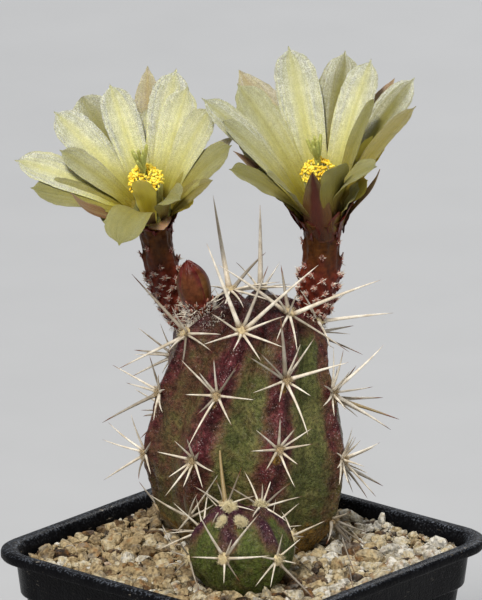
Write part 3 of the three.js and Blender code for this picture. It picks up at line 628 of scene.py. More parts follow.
def lay_stones(draw, shape, shapes, count, sizes, lift, taken, spacing):
    """Throws stones on the grit where none of taken, a list of (x, y, size), is in the way.

    The lift, in sizes, is how far above the grit's surface their middles lie. With no spacing they overlap.
    """
    feet = [(PLANT_FRAME @ Vector((*middle, 0)) * 1000, radius) for middle, radius in FEET]
    for _ in range(count):
        size = lerp(*sizes, draw.random() ** 1.5)
        reach = 0.62 * size
        limit = GRIT_HALF - reach
        x, y = draw.uniform(-limit, limit), draw.uniform(-limit, limit)
        tucked = all(math.hypot(x - foot.x, y - foot.y) > radius + 0.55 * size for foot, radius in feet)
        near = (math.hypot(x - a, y - b) < spacing * (size + r) for a, b, r in taken)
        if not tucked or spacing and any(near):
            continue
        past_corner = [max(abs(a) - GRIT_CORNER_MIDDLE, 0) for a in (x, y)]
        if math.hypot(*past_corner) > GRIT_CORNER - reach:
            continue
        if spacing:
            taken.append((x, y, size))
        points, faces = draw.choice(shapes)
        turn = Matrix.Identity(3)
        for axis, low, high in (("X", -0.6, 0.6), ("Y", -0.6, 0.6), ("Z", 0, math.tau)):
            turn = turn @ Matrix.Rotation(draw.uniform(low, high), 3, axis)
        stretch = size * Vector((draw.uniform(1.0, 1.35), draw.uniform(0.7, 1.0), draw.uniform(0.55, 0.85)))
        middle = Vector((x, y, grit_height(x, y) + size * lift * draw.uniform(0.6, 1.2)))
        right = (Matrix.Rotation(-PLANT_TURN, 3, "Z") @ middle).x
        tone = draw.gauss(0.56 + 0.24 * smooth((right + 10) / 40), 0.17)
        tone = draw.choice(ODD_TONES) if draw.random() < 0.14 else tone
        placed = [middle + turn @ Vector((p.x * stretch.x, p.y * stretch.y, p.z * stretch.z)) for p in points]
        shape.add(placed, faces, tone=min(max(tone, 0.0), 1.0))


# the white stone and the flat brown chip that stand out: place in the pot's frame, half sizes and tone
ODD_STONES = [((34.0, -11.0, 73.5), (1.25, 1.2, 2.3), 0.97), ((-13.5, 33.0, 73.4), (1.9, 1.3, 0.5), 0.15)]
# old spines on the grit, from pixel to pixel of the photograph, with their radii
FALLEN_SPINES = [
    ((338, 522), (355, 574), 0.30), ((341, 523), (366, 548), 0.2), ((336, 524), (327, 546), 0.2),
    ((343, 530), (358, 562), 0.22), ((348, 566), (352, 588), 0.25), ((161, 524), (177, 550), 0.2),
    ((176, 546), (186, 562), 0.22), ((184, 556), (198, 588), 0.22), ((166, 567), (187, 568), 0.2),
    ((152, 497), (172, 512), 0.22), ((300, 562), (321, 578), 0.2), ((64, 548), (78, 556), 0.15),
]


def grit_pixel(x, y):
    """Where a pixel of the photograph lies on the grit, in the plant's frame."""
    high = GRIT_LEVEL + 1.5
    for _ in range(3):
        up = (AXIS_PIXEL[1] - y) / PIXELS_PER_MM - (high - RIM) * math.cos(VIEW_ELEVATION)
        spot = Vector(((x - AXIS_PIXEL[0]) / PIXELS_PER_MM, up / math.sin(VIEW_ELEVATION), high))
        in_pot = PLANT_FRAME @ spot * 1000
        high = grit_height(in_pot.x, in_pot.y) + 1.1
    return spot


def make_grit():
    """A bed of fines, three sizes of stones on it, and some fallen spines."""
    draw = random.Random(4)
    rings = [square_ring(half, 0) for half in GRIT_RINGS]
    for ring in rings:
        for p in ring:
            p.z = grit_height(p.x, p.y) - 1.0 + 0.7 * noise.noise(Vector((p.x, p.y, 0)) * 0.8)
    rings.insert(0, square_ring(33.5, 62))
    bed = Shape()
    bed.add([p for ring in rings for p in ring], closed_faces(len(rings), len(rings[0])))
    bed.build("grit_fines", "grit", "mineral_grit", SOIL, POT_FRAME)
    fine_shapes, plain_shapes, crumb_shapes = (
        [stone_shape(draw, detail) for _ in range(count)] for detail, count in ((3, 20), (2, 20), (1, 12)))
    large, small, crumbs = Shape(), Shape(), Shape()
    taken = []
    lay_stones(draw, large, fine_shapes, 260, (2.3, 3.2), 0.16, taken, 0.6)
    lay_stones(draw, large, fine_shapes, 1800, (1.5, 2.3), 0.16, taken, 0.6)
    lay_stones(draw, small, plain_shapes, 7000, (0.8, 1.5), 0.14, taken, 0.54)
    lay_stones(draw, small, plain_shapes, 900, (1.3, 2.2), -0.75, [], 0.4)
    lay_stones(draw, crumbs, crumb_shapes, 4900, (0.35, 0.75), 0.0, [], 0)
    for (place, size, tone), (points, faces) in zip(ODD_STONES, fine_shapes):
        placed = [Vector(place) + Vector([a * b for a, b in zip(p, size)]) for p in points]
        large.add(placed, faces, tone=tone)
    for name, shape, sharp in (("stones", large, 22), ("chips", small, 25), ("crumbs", crumbs, 30)):
        shape.build(f"grit_{name}", "grit", "mineral_grit", STONE, POT_FRAME, sharp)
    fallen = Shape()
    for start, end, radius in FALLEN_SPINES:
        bow = Vector((0, 0, 1)) + scatter(draw, 0.8)
        tone = draw.uniform(0.5, 1.0)
        fallen.needle(grit_pixel(*start), grit_pixel(*end), radius, bow, 7, 7, tone=tone)
    fallen.build("fallen_spines", "grit", "mineral_grit", SPINE, PLANT_FRAME)


# ---------- ribbed stems ----------

# A stem's plan, where heights are above the grit and an arc is a distance over the skin from its top:
# profile: (radius, height) down its outline
# ribs: (height, azimuth in degrees) down each rib
# firsts, pitch, last: the arc of each rib's first areole, the way from one to the next, and where they end
# centrals, back_spines: for each rib, how long the young central spine is, and the others as a share
# purple_crests, purple_grooves: how purple they are at each rib
# purple_heights: shares of the height where the crown turns purple, and between which the foot fades
# purple_foot: how much of the purple is left at the foot
# tufts: (azimuth, arc) of bare tufts of wool
# grooves, dips: (arc, depth) of the grooves between the ribs, inwards as a share of the radius and downwards
# tubercle: how far the ribs swell at an areole
# lean, lean_height: how far the foot stands to the right, and the height where that starts
# spine_length, young_gain: usual length, and what young spines have more as a share
# old_areole, tans: the size of an old areole as a share, and how tan the wool of a young and an old one is
# corky, violet: 1 for a worn, corky foot and painted shade over the crown, and 1 for cooler greens and purples
# rings, columns: steps of the mesh down the skin, and round it for each rib
STEM = {
    "centre": (0.65, 15.5),
    "profile": [
        (0, 54.7), (3.5, 55.6), (7.5, 55.2), (11.4, 53.5), (14.6, 50.5), (16.8, 46), (18.2, 41), (19.3, 36.5),
        (20.5, 32), (21.8, 27.5), (22.3, 22), (21.9, 16.5), (20.6, 11), (18.5, 5.2), (15, 0), (13, -4.5),
        (11.5, -12.5),
    ],
    "ribs": [
        [(9, -88), (22, -75), (36, -71), (50, -57), (55, -45)],
        [(9, -40), (22, -32), (38, -20), (53, -3), (55, 6)],
        [(9, 4), (28, 19), (43, 29), (53, 54), (55, 60)],
        [(9, 63), (36, 69), (45, 84), (55, 108)],
        [(9, 112), (36, 123), (45, 138), (55, 160)],
        [(9, 165), (36, 178), (45, 190), (55, 208)],
        [(9, 218), (36, 233), (45, 243), (55, 258)],
    ],
    "firsts": [16.8, 13.8, 10.8, 16.8, 9, 7, 14],
    "centrals": [16, 19, 15, 14, 18, 23, 15],
    "back_spines": [1, 1, 1, 1, 0.8, 0.8, 0.75],
    "purple_crests": [0.9, 1.1, 1.05, 0.8, 0.8, 0.85, 0.9],
    "purple_grooves": [0.5, 0.13, -0.10, 0.1, 0.3, 0.35, 0.5],
    "purple_heights": (0.84, 0.1, 0.5),
    "purple_foot": 0.27,
    "tufts": [],
    "pitch": 14.8,
    "last": 66,
    "grooves": [(0, 0.02), (4, 0.2), (10, 0.26), (22, 0.17), (45, 0.11), (62, 0.06), (70, 0)],
    "dips": [(0, 0), (2.5, 0.9), (7, 2.3), (13, 2.0), (19, 0.9), (26, 0)],
    "tubercle": 1.1,
    "lean": 1.5,
    "lean_height": 25,
    "spine_length": 10.5,
    "young_gain": 0.3,
    "spine_radius": 0.41,
    "areole_radius": 1.35,
    "old_areole": 0.76,
    "tans": (0.5, 0.65),
    "corky": 1,
    "violet": 0,
    "rings": 210,
    "columns": 30,
    "height": 55,
    "seed": 7,
}
OFFSET = {
    "centre": (-0.4, -16.6),
    "profile": [
        (0, 17.9), (2.4, 18.2), (5.4, 17.5), (8.3, 15.4), (10.4, 12), (11.1, 8.4), (10.4, 4.6), (8.4, 1.4),
        (6.8, -1), (6, -7.5),
    ],
    "ribs": [
        [(0, -20), (13, -20), (17.4, -30), (18.2, -36)], [(0, 44), (1, 44)], [(0, 99), (1, 99)],
        [(0, 148), (13, 144), (17.4, 124), (18.2, 114)], [(0, 190), (1, 190)],
        [(0, 232), (13, 230), (17.4, 230), (18.2, 228)], [(0, 280), (1, 280)],
    ],
    "firsts": [15.2, 16.3, 14.3, 5.1, 14, 4.4, 18],
    "tufts": [(-35, 7.4), (0, 6.3), (-70, 2.6), (110, 4.3)],
    "centrals": [7, 7, 8, 8, 8, 15, 8],
    "back_spines": [1, 1, 1, 1, 1, 1, 1],
    "purple_crests": [1.0, 1.0, 1.0, 0.9, 0.9, 0.9, 1.0],
    "purple_grooves": [0.0, 0.0, 0.0, 0.1, 0.1, 0.1, 0.0],
    "purple_heights": (0.86, 0.42, 0.80),
    "purple_foot": -0.1,
    "pitch": 10,
    "last": 21,
    "grooves": [(0, 0.02), (3, 0.16), (9, 0.15), (18, 0.09), (24, 0)],
    "dips": [(0, 0), (1.5, 0.4), (4.5, 1.1), (8, 0.8), (12, 0)],
    "tubercle": 0.7,
    "lean": 0,
    "lean_height": 1,
    "spine_length": 7.6,
    "young_gain": 0.1,
    "spine_radius": 0.33,
    "areole_radius": 1.3,
    "old_areole": 1,
    "tans": (0.35, 0.35),
    "corky": 0,
    "violet": 1,
    "rings": 110,
    "columns": 20,
    "height": 18,
    "seed": 23,
}


class Stem:
    """A ribbed stem that grew by a plan, with its outline as (arc, radius) and (arc, height) pairs."""

    def __init__(self, plan):
        self.__dict__.update(plan)
        arc = 0
        self.radius_at, self.height_at = [], []
        points = spline(self.profile, 8)
        for k, (radius, height) in enumerate(points):
            if k:
                arc += math.dist(points[k - 1], points[k])
            self.radius_at.append((arc, radius))
            self.height_at.append((arc, height))
        self.length = arc
        self.crests = [spline(rib, 6) for rib in self.ribs]

    def surface(self, rib, share, arc, detail=False):
        """The point at a share of the way from one rib's crest to the next, with or without fine detail."""
        height, radius = along(self.height_at, arc), along(self.radius_at, arc)
        following = (rib + 1) % len(self.ribs)
        start = along(self.crests[rib], height)
        end = along(self.crests[following], height) + (0 if following else 360)
        azimuth = math.radians(lerp(start, end, share))
        crest = abs(2 * share - 1)
        groove = along(self.grooves, arc) * (1 - crest) ** 1.4
        nearest = rib if share < 0.5 else following
        phase = math.cos(math.pi * (arc - self.firsts[nearest]) / self.pitch) ** 2
        rise = self.tubercle * min(1, radius / 12) * crest ** 2 * phase if height > 1 else 0
        reach = radius * (1 - groove) + rise
        way = toward(azimuth)
        lean = self.lean * max(0, 1 - max(height, 0) / self.lean_height)
        dip = along(self.dips, arc) * (1 - crest) ** 0.9
        foot = Vector((self.centre[0] + lean, self.centre[1], GRIT_LEVEL + height - dip))
        if detail:
            off_crest = min(share, 1 - share) * abs(math.radians(end - start)) * radius
            fade = min(1, radius / 8) * smooth(height / 4)
            pinch = 0.55 * math.exp(-(off_crest ** 2)) - 0.6 * math.exp(-(((off_crest - 2.4) / 0.9) ** 2))
            reach += pinch * (1 - phase) * fade
            spot = foot + way * reach
            fine = 0.2 * noise.noise(spot * 0.5) + 0.12 * noise.noise(spot)
            reach += 0.30 * noise.noise(spot * 0.16) + fine * fade
            wrinkle = noise.noise(Vector((azimuth * radius * 0.18, arc * 1.1, 7)))
            reach += 0.09 * wrinkle * fade * (0.4 + crest)
        return foot + way * reach

    def areoles(self):
        """Down each rib, with the ways out of the surface, up to the crown and to the right."""
        found = []
        for rib, first in enumerate(self.firsts):
            row, arc = 0, first
            while arc < self.last:
                place = self.surface(rib, 0, arc)
                up = (self.surface(rib, 0, arc - 2) - self.surface(rib, 0, arc + 2)).normalized()
                radial = Vector((place.x - self.centre[0], place.y - self.centre[1], 0))
                right = Vector((-radial.y, radial.x, 0)).normalized()
                out = right.cross(up).normalized()
                ways = {"place": place, "up": up, "out": out, "right": right}
                found.append({**ways, "arc": arc, "rib": rib, "row": row})
                row, arc = row + 1, arc + self.pitch
        return found

    def purple(self, rib, share, arc, spot):
        """How purple the skin is: along the crests and over the crown, fading to green at the foot."""
        height = along(self.height_at, arc) / self.height
        following = (rib + 1) % len(self.ribs)
        nearest = rib if share < 0.5 else following
        crest = smooth((abs(2 * share - 1) - 0.36) / 0.44)
        amount = lerp(self.purple_grooves[rib], self.purple_crests[nearest], crest)
        crown, foot_low, foot_high = self.purple_heights
        amount = lerp(amount, 0.95, smooth((height - crown) / 0.12))
        amount *= lerp(self.purple_foot, 1.0, smooth((height - foot_low) / (foot_high - foot_low)))
        return amount + 0.22 * noise.noise(spot * 0.11) + 0.1 * noise.noise(spot * 0.4)

    def make_skin(self, name, node, slot):
        points, purple, cork, crests, creases = [], [], [], [], []
        patches = [(a["place"] - a["up"] * 1.9, a["row"]) for a in self.areoles()]
        for k in range(self.rings):
            arc = lerp(self.length, 0.25, k / (self.rings - 1))
            height = along(self.height_at, arc)
            # painted shade over the crown of a corky stem
            shade = 0.5 * smooth(height / self.height * 7 - 6) * self.corky
            base = 1.9 * smooth(1 - height / 14) * self.corky - 0.3
            for rib in range(len(self.ribs)):
                for c in range(self.columns):
                    share = c / self.columns
                    spot = self.surface(rib, share, arc, detail=True)
                    points.append(spot)
                    purple.append(self.purple(rib, share, arc, spot))
                    crest = abs(2 * share - 1)
                    # the number crest places the painted glints on the crests
                    crests.append(crest ** 3 * smooth(height / 20))
                    # painted shade in the grooves, deeper where they dip, or the crown's painted shade
                    creases.append(max((1 - crest) ** 5 * along(self.dips, arc) / 2.3, shade))
                    away = ((spot - place).length / (0.7 + 0.4 * row) for place, row in patches)
                    worn = 0.75 * smooth(1.6 - min(away, default=9)) * self.corky
                    cork.append(max(worn, base) + 0.3 * noise.noise(spot * 0.22) - 0.06)
        faces = closed_faces(self.rings, self.columns * len(self.ribs))
        shape = Shape()
        shape.add(points, faces, purple=purple, cork=cork, crest=crests, crease=creases, violet=self.violet)
        shape.build(name, node, slot, SKIN, PLANT_FRAME)
        self.skin = BVHTree.FromPolygons(points, faces)


# ---------- areoles ----------

SCREEN_RIGHT = Vector((1, 0, 0))
SCREEN_UP = Vector((0, math.sin(VIEW_ELEVATION), math.cos(VIEW_ELEVATION)))
TO_CAMERA = Vector((0, -math.cos(VIEW_ELEVATION), math.sin(VIEW_ELEVATION)))

# The tips of the spines that the photograph shows, in its pixels, for each (rib, row) of an areole, some with
# a girth and a tone of their own. An areole with one tip has that spine as well as the usual ones.
STEM_TIPS = {
    (0, 0): [(132, 274), (120, 368), (182, 368), (221, 334), (213, 352), (169, 352), (172, 306)],
    (0, 1): [(150, 356), (112, 365), (126, 383), (102, 423), (154, 420), (163, 412), (165, 389), (159, 374)],
    (0, 2): [(131, 414), (108, 423), (102, 440), (103, 481), (139, 479), (151, 474), (152, 440)],
    (0, 3): [(151, 494, 0.7, 0.8), (138, 483, 0.7, 0.8), (160, 527, 0.7, 0.7), (176, 549, 0.7, 0.8),
             (175, 491, 0.7, 0.8)],
    (1, 0): [(207, 244, 1.35, 0.1), (268, 266, 1.1, 0.75), (318, 265, 1.2, 0.1), (284, 316), (283, 347),
             (261, 361), (233, 350), (204, 344), (211, 313)],
    (1, 1): [(214, 359), (239, 362), (254, 399), (232, 425), (188, 447), (196, 415), (185, 394), (182, 360),
             (198, 370)],
    (1, 2): [(187, 437), (175, 440), (200, 450), (157, 451), (215, 471), (203, 487), (165, 496), (168, 477),
             (183, 487)],
    (1, 3): [(218, 474), (198, 492), (184, 488), (150, 494, 0.85, 0.3), (176, 532), (185, 521), (215, 503)],
    (2, 3): [],  # behind the offset
    (2, 0): [(281, 265, 1.2, 0.85), (380, 280, 1.25, 0.1), (218, 265), (349, 352), (297, 352), (276, 341),
             (298, 292), (270, 291, 0.8, 0.45)],
    (2, 1): [(280, 316, 1.35, 0.8), (315, 336), (300, 344), (348, 362), (311, 396), (308, 436), (279, 401),
             (253, 392), (245, 354), (257, 350)],
    (2, 2): [(280, 415), (256, 429), (296, 426), (312, 427), (313, 443), (250, 450), (265, 470), (295, 487),
             (298, 464)],
    (3, 0): [(394, 313, 1.2, 0.1), (330, 348), (348, 292), (300, 290)],
    (3, 1): [(333, 347), (384, 345), (343, 350), (349, 371), (373, 387), (391, 430), (345, 409), (334, 416),
             (322, 406), (321, 384)],
    (3, 2): [(353, 436), (360, 440), (380, 443), (364, 466), (376, 497), (339, 484), (348, 483), (336, 452),
             (336, 468)],
    (3, 3): [(355, 573, 1.2, 0.95), (326, 544, 1, 0.8), (351, 511, 0.8, 0.7), (364, 560, 0.9, 0.9),
             (368, 534, 0.8, 0.8)],
    (4, 0): [(260, 205, 1.6, 0.1), (291, 284), (236, 262), (280, 262)],
    (4, 2): [(400, 420, 1.3, 1.9)],
    (5, 0): [(213, 195, 1.6, 0.1), (266, 252, 1.2, 0.85), (208, 286), (211, 302), (220, 316), (244, 309),
             (274, 302), (303, 287, 1.0, 0.1), (280, 282, 0.75, 0.35)],
}
OFFSET_TIPS = {
    (0, 0): [(200, 512), (261, 508), (189, 554), (270, 552), (224, 580), (240, 578), (232, 536)],
    (1, 0): [(282, 531), (300, 536), (296, 561), (317, 599), (270, 584), (255, 583), (258, 553)],
    (2, 0): [(326, 518), (294, 556), (281, 510), (305, 536)],
    (3, 0): [(244, 470), (227, 484), (272, 476), (262, 480), (292, 481), (303, 495), (287, 520), (252, 516)],
    (5, 0): [(219, 430, 1.6, 2.0), (242, 466), (192, 484), (256, 494), (255, 509), (211, 525), (236, 527),
             (215, 478)],
    (6, 0): [(179, 536), (201, 591, 0.8, 0.8), (168, 548, 0.8, 0.8), (172, 575, 0.8, 0.8)],
}
# the usual radial spines: (degrees round the areole from its upper side, share of the length)
RADIALS = [(0, 0.8), (48, 1.1), (92, 0.95), (138, 1.2), (180, 0.85), (222, 1.2), (268, 0.95), (312, 1.1)]
RADIAL_RISE, CENTRAL_RISE, LONG_RISE = 27, 62, 48  # degrees that spines rise from the skin
RISE_SLACK, LENGTH_SLACK = 18, 3  # degrees and millimetres that count as equally far off
YOUNG_ARC = 45  # how far down from the crown spines are still a little longer
SPINE_SIDES = SPINE_STEPS = 8


def photo_point(x, y):
    """Where a pixel of the photograph lies on the plane through the pot's axis that faces the camera."""
    right, up = (x - AXIS_PIXEL[0]) / PIXELS_PER_MM, (AXIS_PIXEL[1] - y) / PIXELS_PER_MM
    return Vector((0, 0, RIM)) + SCREEN_RIGHT * right + SCREEN_UP * up


def spine_to_pixel(start, out, pixel, rise, length):
    """The tip over a pixel that best suits a spine's start, its rise in degrees from the skin and its length."""
    flat = photo_point(*pixel)
    flat = flat - TO_CAMERA * (flat - start).dot(TO_CAMERA)
    best = None
    for step in range(-60, 61):
        tip = flat + TO_CAMERA * (step * 0.4)
        way = tip - start
        angle = math.degrees(math.asin(max(-1, min(1, way.normalized().dot(out)))))
        cost = ((angle - rise) / RISE_SLACK) ** 2 + ((way.length - length) / LENGTH_SLACK) ** 2
        if best is None or cost < best[0]:
            best = (cost, tip)
    return best[1]


def near_line(point, start, end, radius):
    share = min(max((point - start).dot(end - start) / (end - start).length_squared, 0), 1)
    return (start.lerp(end, share) - point).length < radius


def spines_in_photo(draw, place, out, seen, length, young):
    """The tip, girth and tone of each spine that the photograph shows on an areole."""
    plans = []
    for x, y, *look in seen:
        offset = photo_point(x, y) - place
        offset -= TO_CAMERA * offset.dot(TO_CAMERA)
        long = offset.length > length * 1.15
        rise = LONG_RISE if long and young else RADIAL_RISE
        tip = spine_to_pixel(place, out, (x, y), rise, max(length, offset.length * 1.04))
        plans.append((tip, *(look or (1.1 if long else draw.uniform(0.70, 0.88), None))))
    return plans


def usual_spines(draw, stem, areole, place, length, young):
    """The same for radial spines all round an areole and a central one."""
    up, out, right, rib = (areole[key] for key in ("up", "out", "right", "rib"))
    plans = []
    for angle, share in RADIALS:
        flat = aside(up, right, math.radians(angle + draw.uniform(-8, 8)))
        way = aside(flat, out, math.radians(RADIAL_RISE + draw.uniform(-7, 7)))
        reach = length * share * draw.uniform(0.88, 1.12) * stem.back_spines[rib]
        plans.append((place + way * reach, share * draw.uniform(0.68, 0.82), None))
    flat = aside(up, right, math.radians((0 if young else 180) + draw.uniform(-25, 25)))
    reach = stem.centrals[rib] if young else length * 1.15
    return plans + [(place + aside(flat, out, math.radians(CENTRAL_RISE)) * reach, 1.25, 0.75)]


def make_areoles(stem, node, slot, tips, keep_clear):
    """Wool and spines on every areole that no (start, end, radius) line to be kept clear covers."""
    draw = random.Random(stem.seed)
    wool, spines = Shape(), Shape()
    for areole in stem.areoles():
        place, out, young = areole["place"], areole["out"], areole["row"] == 0
        seen = tips.get((areole["rib"], areole["row"]))
        if seen == [] or not seen and any(near_line(place, *line[:2], line[2] * 0.6) for line in keep_clear):
            continue
        place = stem.skin.find_nearest(place)[0]
        size = stem.areole_radius * (1 if young else stem.old_areole)
        tan = stem.tans[0 if young else 1]
        cushion(wool, draw, place, out, areole["up"], size, tan=tan)
        tuft(wool, draw, place + out * 0.2, out, size, 80, 1.0, tan=tan)
        youth = 1 if young else max(0, 1 - areole["arc"] / YOUNG_ARC)
        length = stem.spine_length * (1 + stem.young_gain * youth)
        plans = spines_in_photo(draw, place, out, seen, length, young) if seen else []
        if len(plans) < 2:
            plans += usual_spines(draw, stem, areole, place, length, young)
        for tip, girth, tone in plans:
            way = tip - place
            tests = [] if seen else [place + way * t for t in (0.35, 0.6, 0.85, 1)]
            if any(near_line(test, *line) for test in tests for line in keep_clear):
                continue
            tip.z = max(tip.z, GRIT_LEVEL + 0.5)
            flat = way - out * way.dot(out)
            start = place + flat.normalized() * min(0.75, 0.25 * flat.length) - out * 0.3
            bow = across(way)[0] * draw.uniform(-0.025, 0.025) * way.length + out * 0.02 * way.length
            tone = draw.random() ** 1.8 if tone is None else tone
            spines.needle(start, tip, stem.spine_radius * girth, bow, SPINE_SIDES, SPINE_STEPS, tone=tone)
    for azimuth, arc in stem.tufts:
        radius, height = along(stem.radius_at, arc), along(stem.height_at, arc)
        spot = Vector((*stem.centre, GRIT_LEVEL + height)) + toward(math.radians(azimuth)) * radius
        place, out = stem.skin.find_nearest(spot)[:2]
        cushion(wool, draw, place, out, across(out)[1], 0.8, tan=0.1)
        tuft(wool, draw, place + out * 0.2, out, 0.85, 620, 1.35, 1.2, 0.05, 1.0, tan=0.05)
    prefix = node.split("_")[0]
    wool.build(f"{prefix}_areole_wool", node, slot, WOOL, PLANT_FRAME)
    spines.build(f"{prefix}_spines", node, slot, SPINE, PLANT_FRAME)


def cushion(shape, draw, place, out, up, size, **numbers):
    """A low uneven mound."""
    right = up.cross(out)
    start = scatter(draw, 20)
    rows, columns = 6, 14
    points = []
    for k in range(rows):
        lift = k / (rows - 1) * math.pi / 2
        for i in range(columns):
            around = math.tau * i / columns
            bumpy = 1 + 0.22 * noise.noise(start + Vector((math.cos(around), math.sin(around), k)) * 1.3)
            flat = aside(right, up * 1.15, around) * math.cos(lift) * size * bumpy
            points.append(place + flat + out * (math.sin(lift) * size * 0.55 * bumpy - 0.25))
    top = tuple(range((rows - 1) * columns, rows * columns))
    shape.add(points, grid_faces(rows, columns, wrap=True) + [top], **numbers)


def tuft(shape, draw, place, out, radius, count, length, spread=0.9, fineness=0.05, curl=0.3, **numbers):
    """Short woolly hairs standing out of a round patch."""
    side, up = across(out)
    for _ in range(count):
        away = aside(side, up, draw.uniform(0, math.tau)) * math.sqrt(draw.random())
        way = (out + away * spread + scatter(draw, 0.5)).normalized() * length * draw.uniform(0.5, 1.1)
        start = place + away * radius
        hair(shape, start, start + way, scatter(draw, curl) * length, fineness, **numbers)


def hair(shape, start, tip, bow, radius, **numbers):
    """A bent three-sided hair."""
    middle = start.lerp(tip, 0.5) + bow * 0.5
    side, up = across(tip - start)
    ring = [aside(side, up, angle) * radius for angle in (0, 2.1, 4.2)]
    points = [start + p for p in ring] + [middle + p * 0.8 for p in ring] + [tip]
    shape.add(points, grid_faces(2, 3, wrap=True) + [(3, 4, 6), (4, 5, 6), (5, 3, 6)], **numbers)


# ---------- flowers and bud ----------

# A tepal is (azimuth round the flower, degrees from its axis, reach, width, finish, degrees that its tip
# bends out, and sometimes the degrees that it rises at before it opens). A sepal is (azimuth, degrees from
# the axis, reach, width) and a low one (azimuth, reach, width). Foot, bend and throat lead the curve of the tube.
LEFT_FLOWER = {
    "name": "left",
    "foot": (-12, 19.2, 115.5), "bend": (-18.6, 20, 130.5), "throat": (-19.8, 18.5, 144.6),
    "axis": (-0.14, -0.49, 0.86),
    "girth": 0.86,
    "tepals": [
        (-106, 55, 32.5, 7.8, "silver", 4), (-93, 57, 27.9, 6.8, "leaf", 0),
        (-134, 45, 31.1, 8.6, "silver", 0), (-115, 42, 25.2, 5.8, "moss", 0),
        (-167, 38, 30.2, 8.0, "silver", 0),
        (156, 42, 32.3, 9.0, "silver", 0), (146, 39, 29.2, 8.0, "pale", 0), (124, 38, 27.6, 7.8, "cream", 0),
        (96, 44, 25.3, 7.0, "leaf", 0), (45, 9, 16.6, 7.0, "leaf", 70, 10),
        (-22, 50, 25.1, 9.0, "olive", 50, 5),
    ],
    "rounded": [
        (-152, 46, 30.2, 9.8, "dull", 0), (-7, -2, 19.4, 5.0, "glow", 0),
    ],
    "low": [(-76, 43, 25.2, 3.2, "salmon", -40)],
    "front_sepals": [],
    "outer": [
        (172, 46, 33, 7.2, "blush", 0), (78, 42, 18.9, 4.8, "pink_olive", 0),
        (-145, 56, 26, 5.6, "olive", 0), (140, 56, 26, 5.6, "olive", 0), (103, 45, 26.5, 5, "blush", 0),
        (16, 60, 9.4, 5.4, "salmon", 30, 14),
    ],
    "fillers": [
        (-124, 47, 20, 8, "moss", 0), (-145, 45, 23, 8.6, "cream", 0), (-178, 41, 24, 8.6, "cream", 0),
        (166, 41, 25, 8.6, "cream", 0), (135, 41, 22, 8.4, "moss", 0), (110, 42, 20, 7.6, "moss", 0),
        (84, 42, 12, 5.4, "glow", 0), (-100, 53, 18, 7, "moss", 0), (-78, 54, 13, 6, "leaf", 0),
        (-58, 46, 11, 6, "leaf", 0),
    ],
    "sepals": [
        (-34, 26, 8.6, 6), (0, 18, 8, 6), (36, 20, 8.6, 6), (70, 30, 9, 5), (104, 40, 11.5, 5.2),
        (140, 41, 17, 6), (180, 42, 18, 6.2), (-146, 44, 18, 6), (-110, 48, 14, 6), (-70, 40, 11, 6),
    ],
    "low_sepals": [(-60, 8, 3.4), (60, 8, 3.4), (120, 9, 3.6), (180, 9, 3.6), (-120, 9, 3.6)],
    "knob_turn": 0.0,
    "seed": 3,
}
RIGHT_FLOWER = {
    "name": "right",
    "foot": (14.2, 18.9, 115.5), "bend": (17.8, 19.6, 130), "throat": (17.2, 15.5, 145.5),
    "axis": (-0.08, -0.29, 0.954),
    "girth": 1,
    "tepals": [
        (-108, 34, 37.9, 7.8, "cream_moss", 0), (-143, 52, 32.7, 7, "dull", 0),
        (-137, 36, 34.5, 8.6, "moss", 0), (-170, 36, 38.5, 9.9, "satin", 0),
        (164, 41, 37.4, 9.2, "slate", 0), (149, 38, 36.2, 8.4, "satin", 0),
        (125, 42, 36.2, 7.6, "slate", 0), (106, 38, 32.3, 5.0, "pink_olive", 0),
        (60, 35, 23.9, 7.8, "leaf", 15, -5), (-75, 40, 26.5, 6.8, "olive", 0),
    ],
    "outer": [
        (-152, 53, 39.4, 10.6, "blush", 0), (141, 48, 34.8, 5.8, "pink", 0), (178, 48, 28, 6, "olive", 0),
    ],
    "low": [(-98, 32, 27.5, 3.2, "salmon", 0), (76, 37, 21.8, 2.6, "salmon", -32)],
    "rounded": [
        (-98, 29, 32.4, 5.6, "moss", 0), (122, 22, 29.4, 3.6, "leaf", 0), (-50, 26, 23.6, 6.0, "leaf", 0),
        (32, 11, 21.2, 7.2, "olive", 0, 6),
    ],
    "fillers": [
        (-122, 37, 27, 8.6, "moss", 0), (-154, 38, 28, 9, "cream", 0), (176, 39, 28, 9, "cream", 0),
        (155, 39, 28, 8.6, "cream", 0), (137, 36, 26, 8.2, "moss", 0), (118, 37, 23, 5.6, "glow", 0),
        (92, 34, 14, 5.4, "glow", 0), (-90, 33, 20, 6.6, "leaf", 0), (66, 24, 14, 6.6, "leaf", 6),
    ],
    "sepals": [
        (-66, 26, 11, 5), (-36, 14, 9, 5), (36, 14, 11, 5), (64, 24, 13, 5.2), (94, 28, 10.5, 4.8),
        (120, 32, 13, 5.2), (155, 34, 18, 6), (-170, 35, 18, 6.2), (-135, 35, 18, 6), (-105, 32, 16, 6.2),
        (-86, 28, 14, 5.6),
    ],
    "front_sepals": [(-13, -7, 23.3, 6.4, "purple", 0, 19)],
    "low_sepals": [
        (-52, 9.6, 3.6), (22, 8.6, 2.8), (52, 9.6, 3.0), (95, 9.6, 3.4), (165, 9.6, 3.4), (-120, 9.6, 3.4),
    ],
    "knob_turn": -7.2,
    "seed": 5,
}
